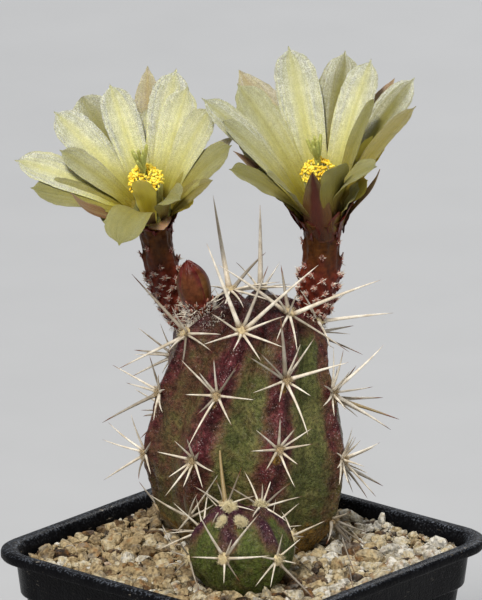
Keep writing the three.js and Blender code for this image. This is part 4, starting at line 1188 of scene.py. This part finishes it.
# silver (pale with a painted sheen), olive, pink, dark, glow (painted light that brightens shaded tepals), and
# how far the inside and the back take the colours of a back
FINISHES = {
    "silver": (1.0, 0.05, 0.0, 0.0, 0.0, 0.0, 0.85),
    "satin": (1.0, 0.2, 0.0, 0.0, 0.0, 0.0, 0.85),
    "slate": (1.0, 1.0, 0.0, 0.0, 0.0, 0.1, 0.85),
    "pale": (0.55, 0.0, 0.0, 0.0, 0.0, 0.0, 0.85),
    "cream": (0.5, 0.15, 0.0, 0.0, 0.0, 0.0, 0.85),
    "cream_moss": (0.9, 0.4, 0.0, 0.0, 0.0, 0.0, 0.85),
    "dull": (0.85, 0.75, 0.0, 0.0, 0.0, 0.1, 0.85),
    "moss": (0.35, 0.6, 0.0, 0.0, 0.0, 0.0, 0.85),
    "leaf": (0.12, 0.85, 0.0, 0.0, 0.0, 0.1, 0.85),
    "olive": (0.08, 0.95, 0.0, 0.0, 0.0, 0.2, 0.9),
    "glow": (0.0, 0.0, 0.0, 0.0, 1.0, 0.0, 0.0),
    "blush": (0.5, 0.15, 0.55, 0.0, 0.0, 0.0, 0.5),
    "pink": (0.1, 0.5, 0.9, 0.0, 0.0, 0.0, 0.0),
    "salmon": (0.0, 0.6, 0.95, 0.0, 0.0, 0.0, 0.0),
    "pink_olive": (0.1, 0.95, 0.22, 0.0, 0.0, 0.2, 0.3),
    "purple": (0.0, 0.0, 0.9, 1.0, 0.0, 0.0, 0.0),
}
# (share of the length, width as a share of the widest)
INNER_WIDTHS = [
    (0, 0.52), (0.15, 0.62), (0.3, 0.74), (0.45, 0.87), (0.58, 0.97), (0.68, 1.0), (0.77, 0.98), (0.85, 0.88),
    (0.905, 0.70), (0.935, 0.48), (0.955, 0.24), (0.967, 0.12), (0.98, 0.07), (1, 0.012),
]
OUTER_WIDTHS = [
    (0, 0.62), (0.2, 0.78), (0.4, 0.95), (0.55, 1.0), (0.7, 0.9), (0.82, 0.66), (0.91, 0.38), (0.96, 0.16),
    (1, 0.015),
]
ROUND_WIDTHS = [
    (0, 0.5), (0.2, 0.68), (0.4, 0.86), (0.6, 0.98), (0.72, 1.0), (0.84, 0.93), (0.92, 0.74), (0.97, 0.46),
    (1, 0.06),
]
SEPAL_WIDTHS = [(0, 0.8), (0.3, 1.0), (0.55, 0.92), (0.8, 0.55), (0.93, 0.22), (1, 0.015)]
# group: (widths, radius and height of the ring that its tepals start on)
TEPAL_GROUPS = {
    "tepals": (INNER_WIDTHS, 4.1, 0.7),
    "outer": (OUTER_WIDTHS, 4.5, 0.3),
    "fillers": (INNER_WIDTHS, 4.8, 0.0),
    "rounded": (ROUND_WIDTHS, 4.3, 0.5),
    "low": (OUTER_WIDTHS, 4.6, -2.2),
    "front_sepals": (SEPAL_WIDTHS, 4.0, -5.0),
}
TEPAL_CURL, TEPAL_ROLL = 22, math.radians(13)
TEPAL_GUTTER, TEPAL_KEEL, TEPAL_PLEAT, TEPAL_THICKNESS = 0.13, 0.42, 0.16, 0.17
TEPAL_ROWS, TEPAL_COLUMNS = 34, 15
STAMENS, FILAMENT_RADIUS = 235, 0.13
# the disc under the stamens and the style, both as (radius, height)
DISC = [(1.3, 3.3), (3.0, 3.3), (3.0, 4.0), (2.5, 4.3), (1.8, 4.3), (1.3, 4.0), (1.3, 3.3)]
STYLE = [(0.55, 3.3), (0.55, 8), (0.6, 12), (0.75, 14.4), (0.6, 15.1)]
LOBES, LOBE_TILTS, LOBE_LENGTH, LOBE_FOOT = 7, (9, 25), 5.6, 14.2
LOBE_RADII = [(0, 0.34), (0.2, 0.40), (0.4, 0.45), (0.6, 0.45), (0.8, 0.41), (0.93, 0.31), (1, 0.12)]
TUBE_RADII = [(0, 2), (0.16, 2.6), (0.28, 3.6), (0.46, 4.4), (0.6, 4.2), (0.74, 4), (0.88, 4.5), (1, 5.8)]
TUBE_OUTLINE = spline(TUBE_RADII, 6)
TUBE_RINGS, TUBE_SIDES, TUBE_FOLDS = 120, 80, 11
LOW_KNOBS, HIGH_KNOBS, HIGH_FROM = 54, 8, 0.58  # the high knobs start at that share of the tube's length
WOOL_TOP = 118.5  # below this height the tube's knobs are buried in the stem


def tepal(shape, draw, plan, widths, ring, base, upright=None, **numbers):
    """A tepal in the flower's own frame, where z is its axis and azimuth 0 its front.

    It starts on a ring at a base height, and where upright is given it first rises at that angle.
    """
    azimuth, opening, reach, width, finish, bend, *rise = plan
    upright = rise[0] if rise else upright
    rows, columns = TEPAL_ROWS, TEPAL_COLUMNS
    azimuth = math.radians(azimuth)
    away, sideways, axis = toward(azimuth), level(azimuth), Vector((0, 0, 1))
    outline = spline(widths, 4)
    start = scatter(draw, 30)
    spot = away * ring + axis * base
    twist = math.radians(draw.uniform(-8, 8))
    ruffle = draw.uniform(0.35, 0.7)
    sharpness = draw.uniform(0.8, 1.2)
    faces_up, faces_down, sides, shares = [], [], [], []
    last_share = 0
    for j in range(rows):
        share = 1 - (1 - j / (rows - 1)) ** 1.25
        degrees = opening + TEPAL_CURL * (share - 0.30) + bend * smooth((share - 0.45) / 0.55)
        if upright is not None:
            degrees = lerp(upright, degrees, smooth(share / 0.5))
        way = aside(axis, away, math.radians(degrees))
        spot = spot + way * ((reach - ring) * (share - last_share))
        last_share = share
        side = Matrix.Rotation(TEPAL_ROLL * math.sin(azimuth) + twist * share, 3, way) @ sideways
        inward = way.cross(side)
        half = along(outline, share) * width / 2
        for i in range(columns):
            s = math.sin((2 * i / (columns - 1) - 1) * math.pi / 2)
            tatter = abs(s) ** 6 * smooth((share - 0.5) / 0.3)
            ragged = 1 + tatter * 0.075 * noise.noise(start + Vector((s, share * 30, 0)))
            wave = ruffle * noise.noise(start + Vector((s * 1.3, share * 5.0, 5)))
            wave = wave * (0.2 + s * s) * min(half, 3) / 3
            keel = -TEPAL_KEEL * sharpness * math.exp(-((s / 0.2) ** 2)) * min(half / 3, 1)
            pleat = TEPAL_PLEAT * math.cos(s * 8.5) * (1 - s * s) * min(half / 3, 1)
            depth = TEPAL_GUTTER * half * s * s + wave + keel + pleat
            middle = spot + side * (s * half * ragged) + inward * depth
            thick = TEPAL_THICKNESS * (1 - 0.75 * abs(s) ** 3) * lerp(1, 0.5, share)
            faces_up.append(middle + inward * thick)
            faces_down.append(middle - inward * thick)
            sides.append(s)
            shares.append(share)
    count = rows * columns
    top = [tuple(reversed(face)) for face in grid_faces(rows, columns)]
    under = [tuple(count + i for i in reversed(face)) for face in top]
    edges = []
    for j in range(rows - 1):
        for i, flip in ((0, False), (columns - 1, True)):
            a, b = j * columns + i, (j + 1) * columns + i
            quad = (a, b, count + b, count + a)
            edges.append(tuple(reversed(quad)) if flip else quad)
    for i in range(columns - 1):
        edges.append((i + 1, i, count + i, count + i + 1))
        a = (rows - 1) * columns + i
        edges.append((a, a + 1, count + a + 1, count + a))
    if finish:
        silver, olive, pink, dark, glow, inside, back = FINISHES[finish]
        olive = min(1, max(0, olive + draw.uniform(-0.08, 0.08)))
        numbers = {"silver": silver, "olive": olive, "pink": pink, "dark": dark, "glow": glow,
                   "under": [inside] * count + [back] * count}
    shape.add(faces_up + faces_down, top + under + edges, along=shares * 2, side=sides * 2,
              seed=draw.uniform(0, 40), **numbers)


def head_frame(flower):
    """The flower's own frame: its throat at the origin, and z along its axis."""
    axis = Vector(flower["axis"]).normalized()
    right = axis.cross(Vector((0, -1, 0))).normalized()
    back = axis.cross(right)
    return Matrix.Translation(flower["throat"]) @ Matrix((right, back, axis)).transposed().to_4x4()


def make_head(flower):
    name = flower["name"]
    draw = random.Random(flower["seed"])
    frame = PLANT_FRAME @ head_frame(flower)
    tepals = Shape()
    for group, (widths, ring, base) in TEPAL_GROUPS.items():
        for plan in flower[group]:
            tepal(tepals, draw, plan, widths, ring, base)
    cup = [Vector((0, 0, z)) for z in (-0.6, 0.2, 0.9, 1.4)]
    tepals.tube(cup, [4.0, 4.4, 4.3, 3.6], 40, olive=1.0)
    tepals.build(f"{name}_silky_tepals", f"{name}_flower_tepals", "tepals", TEPAL, frame)
    make_stamens(draw, name, frame)
    make_pistil(draw, name, frame)


def make_stamens(draw, name, frame):
    """Anthers on bent filaments, spread evenly over a round patch, and the disc under them."""
    anthers, filaments = Shape(), Shape()
    for k in range(STAMENS):
        share = math.sqrt((k + 0.5) / STAMENS)
        way = level(k * GOLDEN_ANGLE)
        foot = way * lerp(1.5, 2.8, share) + Vector((0, 0, 3.6))
        head = way * (lerp(0.9, 3.7, share) + draw.uniform(-0.35, 0.3))
        head.z = 12.6 - 2.6 * share ** 2 + draw.uniform(-0.9, 0.8)
        bow = way * draw.uniform(-0.4, 0.2)
        path = [foot.lerp(head, t) + bow * (4 * t * (1 - t)) for t in (0, 0.25, 0.5, 0.75, 0.98)]
        filaments.tube(path, [FILAMENT_RADIUS] * len(path), 5)
        anther(anthers, draw, head, (head - foot).normalized())
    columns = 32
    points = [level(math.tau * i / columns) * r + Vector((0, 0, z)) for r, z in DISC for i in range(columns)]
    filaments.add(points, grid_faces(len(DISC), columns, wrap=True))
    anthers.build(f"{name}_anthers", f"{name}_flower_stamens", "stamens", POLLEN, frame)
    filaments.build(f"{name}_filaments", f"{name}_flower_stamens", "stamens", FILAMENT, frame)


def make_pistil(draw, name, frame):
    """A style with velvety lobes."""
    pistil = Shape()
    pistil.tube([Vector((0, 0, z)) for _, z in STYLE], [radius for radius, _ in STYLE], 14)
    for k in range(LOBES):
        out = level(math.tau * (k + draw.uniform(-0.2, 0.2)) / LOBES)
        way = aside(Vector((0, 0, 1)), out, math.radians(LOBE_TILTS[k % 2] + draw.uniform(-4, 4)))
        length = LOBE_LENGTH * draw.uniform(0.85, 1.05)
        foot = Vector((0, 0, LOBE_FOOT)) + out * 0.35
        path = [foot + way * length * t - out * 0.3 * t * t for t, _ in LOBE_RADII]
        pistil.tube(path, [radius for _, radius in LOBE_RADII], 10)
        for _ in range(40):
            t = draw.uniform(0.15, 1)
            round_way = aside(*across(way), draw.uniform(0, math.tau))
            start = path[0].lerp(path[-1], t) + round_way * 0.36
            hair(pistil, start, start + round_way * 0.14 + way * 0.05, Vector(), 0.05)
    pistil.build(f"{name}_stigma_and_style", f"{name}_flower_pistil", "pistil", STIGMA, frame)


def anther(shape, draw, place, way):
    """A two-lobed anther, split along its length."""
    side, up = across(way)
    turn = draw.uniform(0, math.pi)
    long = (aside(side, up, turn) + way * draw.uniform(-0.3, 0.3)).normalized()
    wide = long.cross(way).normalized()
    deep = wide.cross(long)
    half = draw.uniform(0.36, 0.50)
    rows, columns = 7, 9
    points = []
    for k in range(rows):
        lift = math.pi * (k + 0.25) / (rows - 0.5)
        for i in range(columns):
            around = math.tau * i / columns
            lobe = 1 - 0.25 * math.exp(-((math.sin(around) / 0.4) ** 2))
            bumpy = 1 + 0.12 * draw.uniform(-1, 1)
            points.append(
                place + long * (-math.cos(lift) * half * 1.15)
                + wide * (math.cos(around) * math.sin(lift) * half * 0.66 * lobe * bumpy)
                + deep * (math.sin(around) * math.sin(lift) * half * 0.6 * bumpy))
    shape.add(points, closed_faces(rows, columns), tone=draw.random())


def tube_frame(flower, t):
    """At a share of the tube's length: its middle, the ways along, to the front and right, its radius."""
    foot, bend, throat = (Vector(flower[key]) for key in ("foot", "bend", "throat"))
    middle = foot * (1 - t) ** 2 + bend * (2 * t * (1 - t)) + throat * t * t
    tangent = ((bend - foot) * (1 - t) + (throat - bend) * t).normalized()
    way = tangent.lerp(Vector(flower["axis"]).normalized(), t * t).normalized()
    front = Vector((0, -1, 0))
    front = (front - way * way.dot(front)).normalized()
    return middle, way, front, way.cross(front), along(TUBE_OUTLINE, t) * flower["girth"]


def make_tube_skin(flower, knobs):
    length = (Vector(flower["throat"]) - Vector(flower["foot"])).length * 1.03
    points, knob_share, shares = [], [], []
    for j in range(TUBE_RINGS):
        t = lerp(0.02, 0.995, j / (TUBE_RINGS - 1))
        middle, _, front, right, radius = tube_frame(flower, t)
        near = [knob for knob in knobs if -2.5 < (knob[0] - t) * length < 2.2 * knob[3]]
        for i in range(TUBE_SIDES):
            angle = math.tau * i / TUBE_SIDES
            lift = 0
            for share, turn, size, ridge in near:
                down = (t - share) * length
                aslant = ((angle - turn + math.pi) % math.tau - math.pi) * radius
                tall = ridge if down < 0 else 0.8
                lift = max(lift, math.exp(-((down / tall) ** 2) - (aslant / (0.95 * size)) ** 2))
            folds = 0.13 * math.cos(angle * TUBE_FOLDS + t * 5) * smooth((t - 0.5) / 0.2)
            out = aside(front, right, angle)
            spot = middle + out * radius
            points.append(spot + out * (0.5 * lift + folds - 0.25 + 0.15 * noise.noise(spot * 0.9)))
            knob_share.append(lift if t < HIGH_FROM else 0.4 * lift)
            shares.append(t)
    shape = Shape()
    shape.add(points, closed_faces(TUBE_RINGS, TUBE_SIDES), along=shares, knob=knob_share)
    name = flower["name"]
    shape.build(f"{name}_tube_skin", f"{name}_flower_tube", "tube_skin", TUBE_SKIN, PLANT_FRAME)


def make_tube(flower):
    """The tube, its knobs with a scale, wool and short spines on each, and the sepals round its mouth."""
    draw = random.Random(flower["seed"] + 20)
    # (share of the tube's length, azimuth, size, length of the ridge below)
    knobs = [(0.13 + 0.44 * k / LOW_KNOBS, k * GOLDEN_ANGLE + 0.4, draw.uniform(0.85, 1.1), 1.3)
             for k in range(LOW_KNOBS)]
    knobs += [(0.60 + 0.26 * k / HIGH_KNOBS, k * GOLDEN_ANGLE + flower["knob_turn"], 0.85, 4.5)
              for k in range(HIGH_KNOBS)]
    make_tube_skin(flower, knobs)
    scales, wool, spines = Shape(), Shape(), Shape()
    for share, turn, size, _ in knobs:
        middle, way, front, right, radius = tube_frame(flower, share)
        out = aside(front, right, turn)
        place = middle + out * (radius + 0.2)
        if place.z < WOOL_TOP:
            continue
        low = share < HIGH_FROM
        length = draw.uniform(1.3, 1.8) if low else draw.uniform(1.8, 2.6)
        lift, pale = (26, 0.8) if low else (10, 0.3)
        scale(scales, place - way * 0.6, way, out, length, 1.1, lift, pale=pale, olive=0.2)
        for hairs, reach, white, pink in ((34, 0.55, 0.15, 0.9), (20 if low else 6, 0.8, 0.85, 0.3)):
            spot, upwards = place + way * 0.4, (out + way * 0.3).normalized()
            tuft(wool, draw, spot, upwards, 0.42, hairs, reach, 0.9, 0.06, 0.6, white=white, pink=pink)
        for _ in range(draw.choice((4, 5, 6)) if low else 3):
            around = aside(way, out.cross(way), draw.uniform(-2.2, 2.2))
            reach = (out * draw.uniform(0.3, 1.1) + around).normalized() * draw.uniform(0.9, 1.9) * size
            start = place + way * 0.35
            spines.needle(start, start + reach, 0.13, scatter(draw, 0.1), 5, 4, tone=0.1)
    # wool where the tube leaves the stem
    for _ in range(380):
        middle, way, front, right, radius = tube_frame(flower, draw.uniform(0.08, 0.24))
        out = aside(front, right, draw.uniform(0, math.tau))
        woolly(wool, draw, middle + out * (radius * draw.uniform(0.9, 1.35)), out, way)
    # the sepals, and below them the lowest ones, which hide where the tepals start
    sepals, girth = Shape(), flower["girth"]
    for plan in flower["sepals"]:
        tepal(sepals, draw, (*plan, None, -6), SEPAL_WIDTHS, 4.3 * girth, -3.4, upright=9,
              olive=draw.uniform(0.75, 1.1), pale=draw.uniform(0, 0.1))
    for azimuth, reach, width in flower["low_sepals"]:
        tepal(sepals, draw, (azimuth, 8, reach, width, None, 6), SEPAL_WIDTHS, 4.0 * girth, -5.4, upright=12,
              olive=0.2, pale=draw.uniform(0.1, 0.35))
    name, head = flower["name"], PLANT_FRAME @ head_frame(flower)
    for piece, shape, material, frame in (
            ("tube_scales", scales, SCALE, PLANT_FRAME), ("tube_wool", wool, WOOL, PLANT_FRAME),
            ("tube_spines", spines, SPINE, PLANT_FRAME), ("sepals", sepals, SCALE, head)):
        shape.build(f"{name}_{piece}", f"{name}_flower_tube", "tube_skin", material, frame)


def woolly(shape, draw, start, out, way):
    """A curly grey-white hair."""
    tip = (out * draw.uniform(0.1, 0.9) + way * draw.uniform(-0.5, 0.6) + scatter(draw, 0.9)).normalized()
    tip = start + tip * draw.uniform(0.4, 1.1)
    hair(shape, start, tip, scatter(draw, 0.5), 0.045, white=draw.uniform(0.5, 0.9))


def scale(shape, foot, way, out, length, width, lift, **numbers):
    """A small pointed scale that lies along a way and lifts off by some degrees."""
    rows, columns = 9, 7
    sideways = way.cross(out)
    direction = aside(way, out, math.radians(lift))
    normal = sideways.cross(direction)
    points, shares, sides = [], [], []
    spot = foot.copy()
    for j in range(rows):
        share = j / (rows - 1)
        if j:
            spot = spot + direction * (length / (rows - 1))
        half = width / 2 * max(0.02, (1 - share ** 2.2)) * (0.75 + 0.25 * math.sin(math.pi * share))
        for layer in (1, -1):
            for i in range(columns):
                s = 2 * i / (columns - 1) - 1
                bulge = -0.3 * half * s * s + layer * 0.14 * (1 - 0.7 * s * s)
                points.append(spot + sideways * (s * half) + normal * bulge)
                shares.append(share)
                sides.append(s)
    shape.add(points, blade_faces(rows, columns), along=shares, side=sides, **numbers)


BUD_FOOT, BUD_TIP = Vector((-8, 12.7, 118.5)), Vector((-12.2, 10, 136.3))
BUD_RADII = [
    (0, 1.8), (0.24, 3), (0.4, 3.3), (0.46, 3.15), (0.58, 3.55), (0.72, 3.4), (0.84, 2.6), (0.93, 1.4),
    (0.98, 0.5), (1, 0.05),
]
BUD_SEPALS, BUD_SCALES, BUD_HAIRS = 11, 40, 900


def make_bud():
    """Sepals wrapped round a core, on a woolly, scaly base."""
    draw = random.Random(31)
    way = (BUD_TIP - BUD_FOOT).normalized()
    length = (BUD_TIP - BUD_FOOT).length
    side, up = across(way)
    outline = spline(BUD_RADII, 4)
    sepals, wool, spines = Shape(), Shape(), Shape()
    shares = [0.02 + 0.97 * k / 39 for k in range(40)]
    core = [BUD_FOOT + way * length * t for t in shares]
    sepals.tube(core, [along(outline, t) * 0.93 for t in shares], 40, olive=0.2)
    rows, columns = 26, 11
    for k in range(BUD_SEPALS):
        start = (0.42, 0.45, 0.48)[k % 3]
        end = 1.0 - 0.012 * (k % 4) if k < 8 else 0.78
        wrap = 0.62 if k < 6 else 0.5
        points, shares, sides = [], [], []
        for j in range(rows):
            share = j / (rows - 1)
            t = lerp(start, end, share)
            radius = along(outline, t) + 0.05 * (10 - k) / 10
            spread = wrap * math.pi / 2 * (1 - share ** 3.2) ** 0.6 + 0.02
            for layer in (0.16, 0.0):
                for i in range(columns):
                    s = 2 * i / (columns - 1) - 1
                    out = aside(side, up, k * GOLDEN_ANGLE + s * spread)
                    keel = 0.14 * math.exp(-((s / 0.25) ** 2)) * math.sin(math.pi * share)
                    reach = radius * 0.95 + layer + keel - 0.10 * s * s + 0.07 * s
                    points.append(BUD_FOOT + way * (length * t) + out * max(reach, 0.03))
                    shares.append(share)
                    sides.append(s)
        sepals.add(points, blade_faces(rows, columns), along=shares, side=sides,
                   olive=draw.uniform(0.22, 0.48))
    for k in range(BUD_SCALES):
        t = 0.14 + 0.32 * (k / BUD_SCALES)
        out = aside(side, up, k * GOLDEN_ANGLE)
        place = BUD_FOOT + way * length * t + out * (along(outline, t) * 0.95)
        if draw.random() < 0.75:
            size = draw.uniform(1.3, 2.2), draw.uniform(0.9, 1.4)
            scale(sepals, place, way, out, *size, 18, pale=0.7, olive=draw.uniform(0.0, 0.5))
        tuft(wool, draw, place, (out + way * 0.2).normalized(), 0.7, 18, 1.25, 1.0, 0.05, 0.6, white=0.8)
        for _ in range(2):
            reach = out * draw.uniform(0.4, 1.0) + way * draw.uniform(0.2, 1.0) + scatter(draw, 0.5)
            tip = place + reach.normalized() * draw.uniform(1.6, 3.6)
            spines.needle(place, tip, 0.12, scatter(draw, 0.1), 5, 4, tone=draw.random() * 0.3)
    # grey wool spreading from the bud's foot over the stem
    for _ in range(BUD_HAIRS):
        t = draw.uniform(0.08, 0.26)
        out = aside(side, up, draw.uniform(0, math.tau))
        start = BUD_FOOT + way * length * t + out * (along(outline, t) * draw.uniform(0.95, 1.6))
        place, normal = main_stem.skin.find_nearest(start)[:2]
        if (place - start).length < 2.5 and draw.random() < 0.8:
            start, out = place, normal
        woolly(wool, draw, start, out, way)
    for piece, shape, material in (
            ("sepals", sepals, SCALE), ("wool", wool, WOOL), ("spines", spines, SPINE)):
        shape.build(f"bud_{piece}", "flower_bud", "bud_scales", material, PLANT_FRAME)


# ---------- floor, lights and camera ----------


def area_light(name, place, target, size, power, colour):
    data = bpy.data.lights.new(name, "AREA")
    data.size, data.energy, data.color = size, power, colour
    light = bpy.data.objects.new(name, data)
    bpy.context.collection.objects.link(light)
    light.location = place
    light.rotation_euler = (Vector(target) - Vector(place)).to_track_quat("-Z", "Y").to_euler()
    light.visible_camera = False


def make_stage():
    bpy.ops.mesh.primitive_plane_add(size=60)
    floor = bpy.context.object
    floor.name = "studio_floor"
    paint = Paint("studio_floor", Roughness=0.9, Specular_IOR_Level=0.1)
    colour = paint.grain(30, 2).mix((0.43, 0.435, 0.44), (0.46, 0.465, 0.47))
    floor.data.materials.append(paint.finish(colour))
    world = bpy.data.worlds.new("studio")
    bpy.context.scene.world = world
    world.use_nodes = True
    world.node_tree.nodes["Background"].inputs["Color"].default_value = (0.93, 0.95, 1.0, 1)
    world.node_tree.nodes["Background"].inputs["Strength"].default_value = 0.42
    turn = Matrix.Rotation(PLANT_TURN, 3, "Z")
    middle = (0, 0, 0.1)
    area_light("key", turn @ Vector((-0.38, -1.0, 1.42)), middle, 0.35, 30, (1.0, 0.97, 0.92))
    area_light("fill", turn @ Vector((1.1, -0.9, 0.4)), middle, 0.8, 3.5, (0.92, 0.96, 1.0))
    area_light("rim", turn @ Vector((0.4, 1.1, 0.9)), middle, 0.6, 8, (1.0, 1.0, 1.0))
    bpy.context.scene.view_settings.view_transform = "Standard"


def make_camera():
    data = bpy.data.cameras.new("photo_view")
    camera = bpy.data.objects.new("photo_view", data)
    bpy.context.collection.objects.link(camera)
    bpy.context.scene.camera = camera
    data.sensor_width = SENSOR
    data.lens = SENSOR * VIEW_DISTANCE / (PHOTO_HEIGHT / PIXELS_PER_MM)
    data.clip_start, data.clip_end = 0.01, 60
    target = PLANT_FRAME @ photo_point(*VIEW_CENTRE)
    back = PLANT_FRAME.to_3x3() @ TO_CAMERA
    camera.location = target + back * VIEW_DISTANCE
    camera.rotation_euler = (-back).to_track_quat("-Z", "Y").to_euler()


main_stem, offset_stem = Stem(STEM), Stem(OFFSET)
make_camera()
make_stage()
make_pot()
make_grit()
main_stem.make_skin("main_stem_skin", "main_stem", "purple_green_stem")
offset_stem.make_skin("offset_stem_skin", "offset_stem", "green_stem")
flower_lines = []
for flower in (LEFT_FLOWER, RIGHT_FLOWER):
    foot, bend, throat = (Vector(flower[key]) for key in ("foot", "bend", "throat"))
    flower_lines += [(foot, bend, 6.2), (bend, throat, 6.6)]
over_offset = (
    Vector((*OFFSET["centre"], GRIT_LEVEL + 4)), Vector((*OFFSET["centre"], GRIT_LEVEL + 8.5)), 11.5)
in_stem = (Vector((*STEM["centre"], GRIT_LEVEL + 8)), Vector((*STEM["centre"], GRIT_LEVEL + 40)), 20.0)
make_areoles(main_stem, "main_stem", "purple_green_stem", STEM_TIPS,
             [*flower_lines, (BUD_FOOT, BUD_TIP, 4.6), over_offset])
make_areoles(offset_stem, "offset_stem", "green_stem", OFFSET_TIPS, [in_stem])
for flower in (LEFT_FLOWER, RIGHT_FLOWER):
    make_tube(flower)
    make_head(flower)
make_bud()
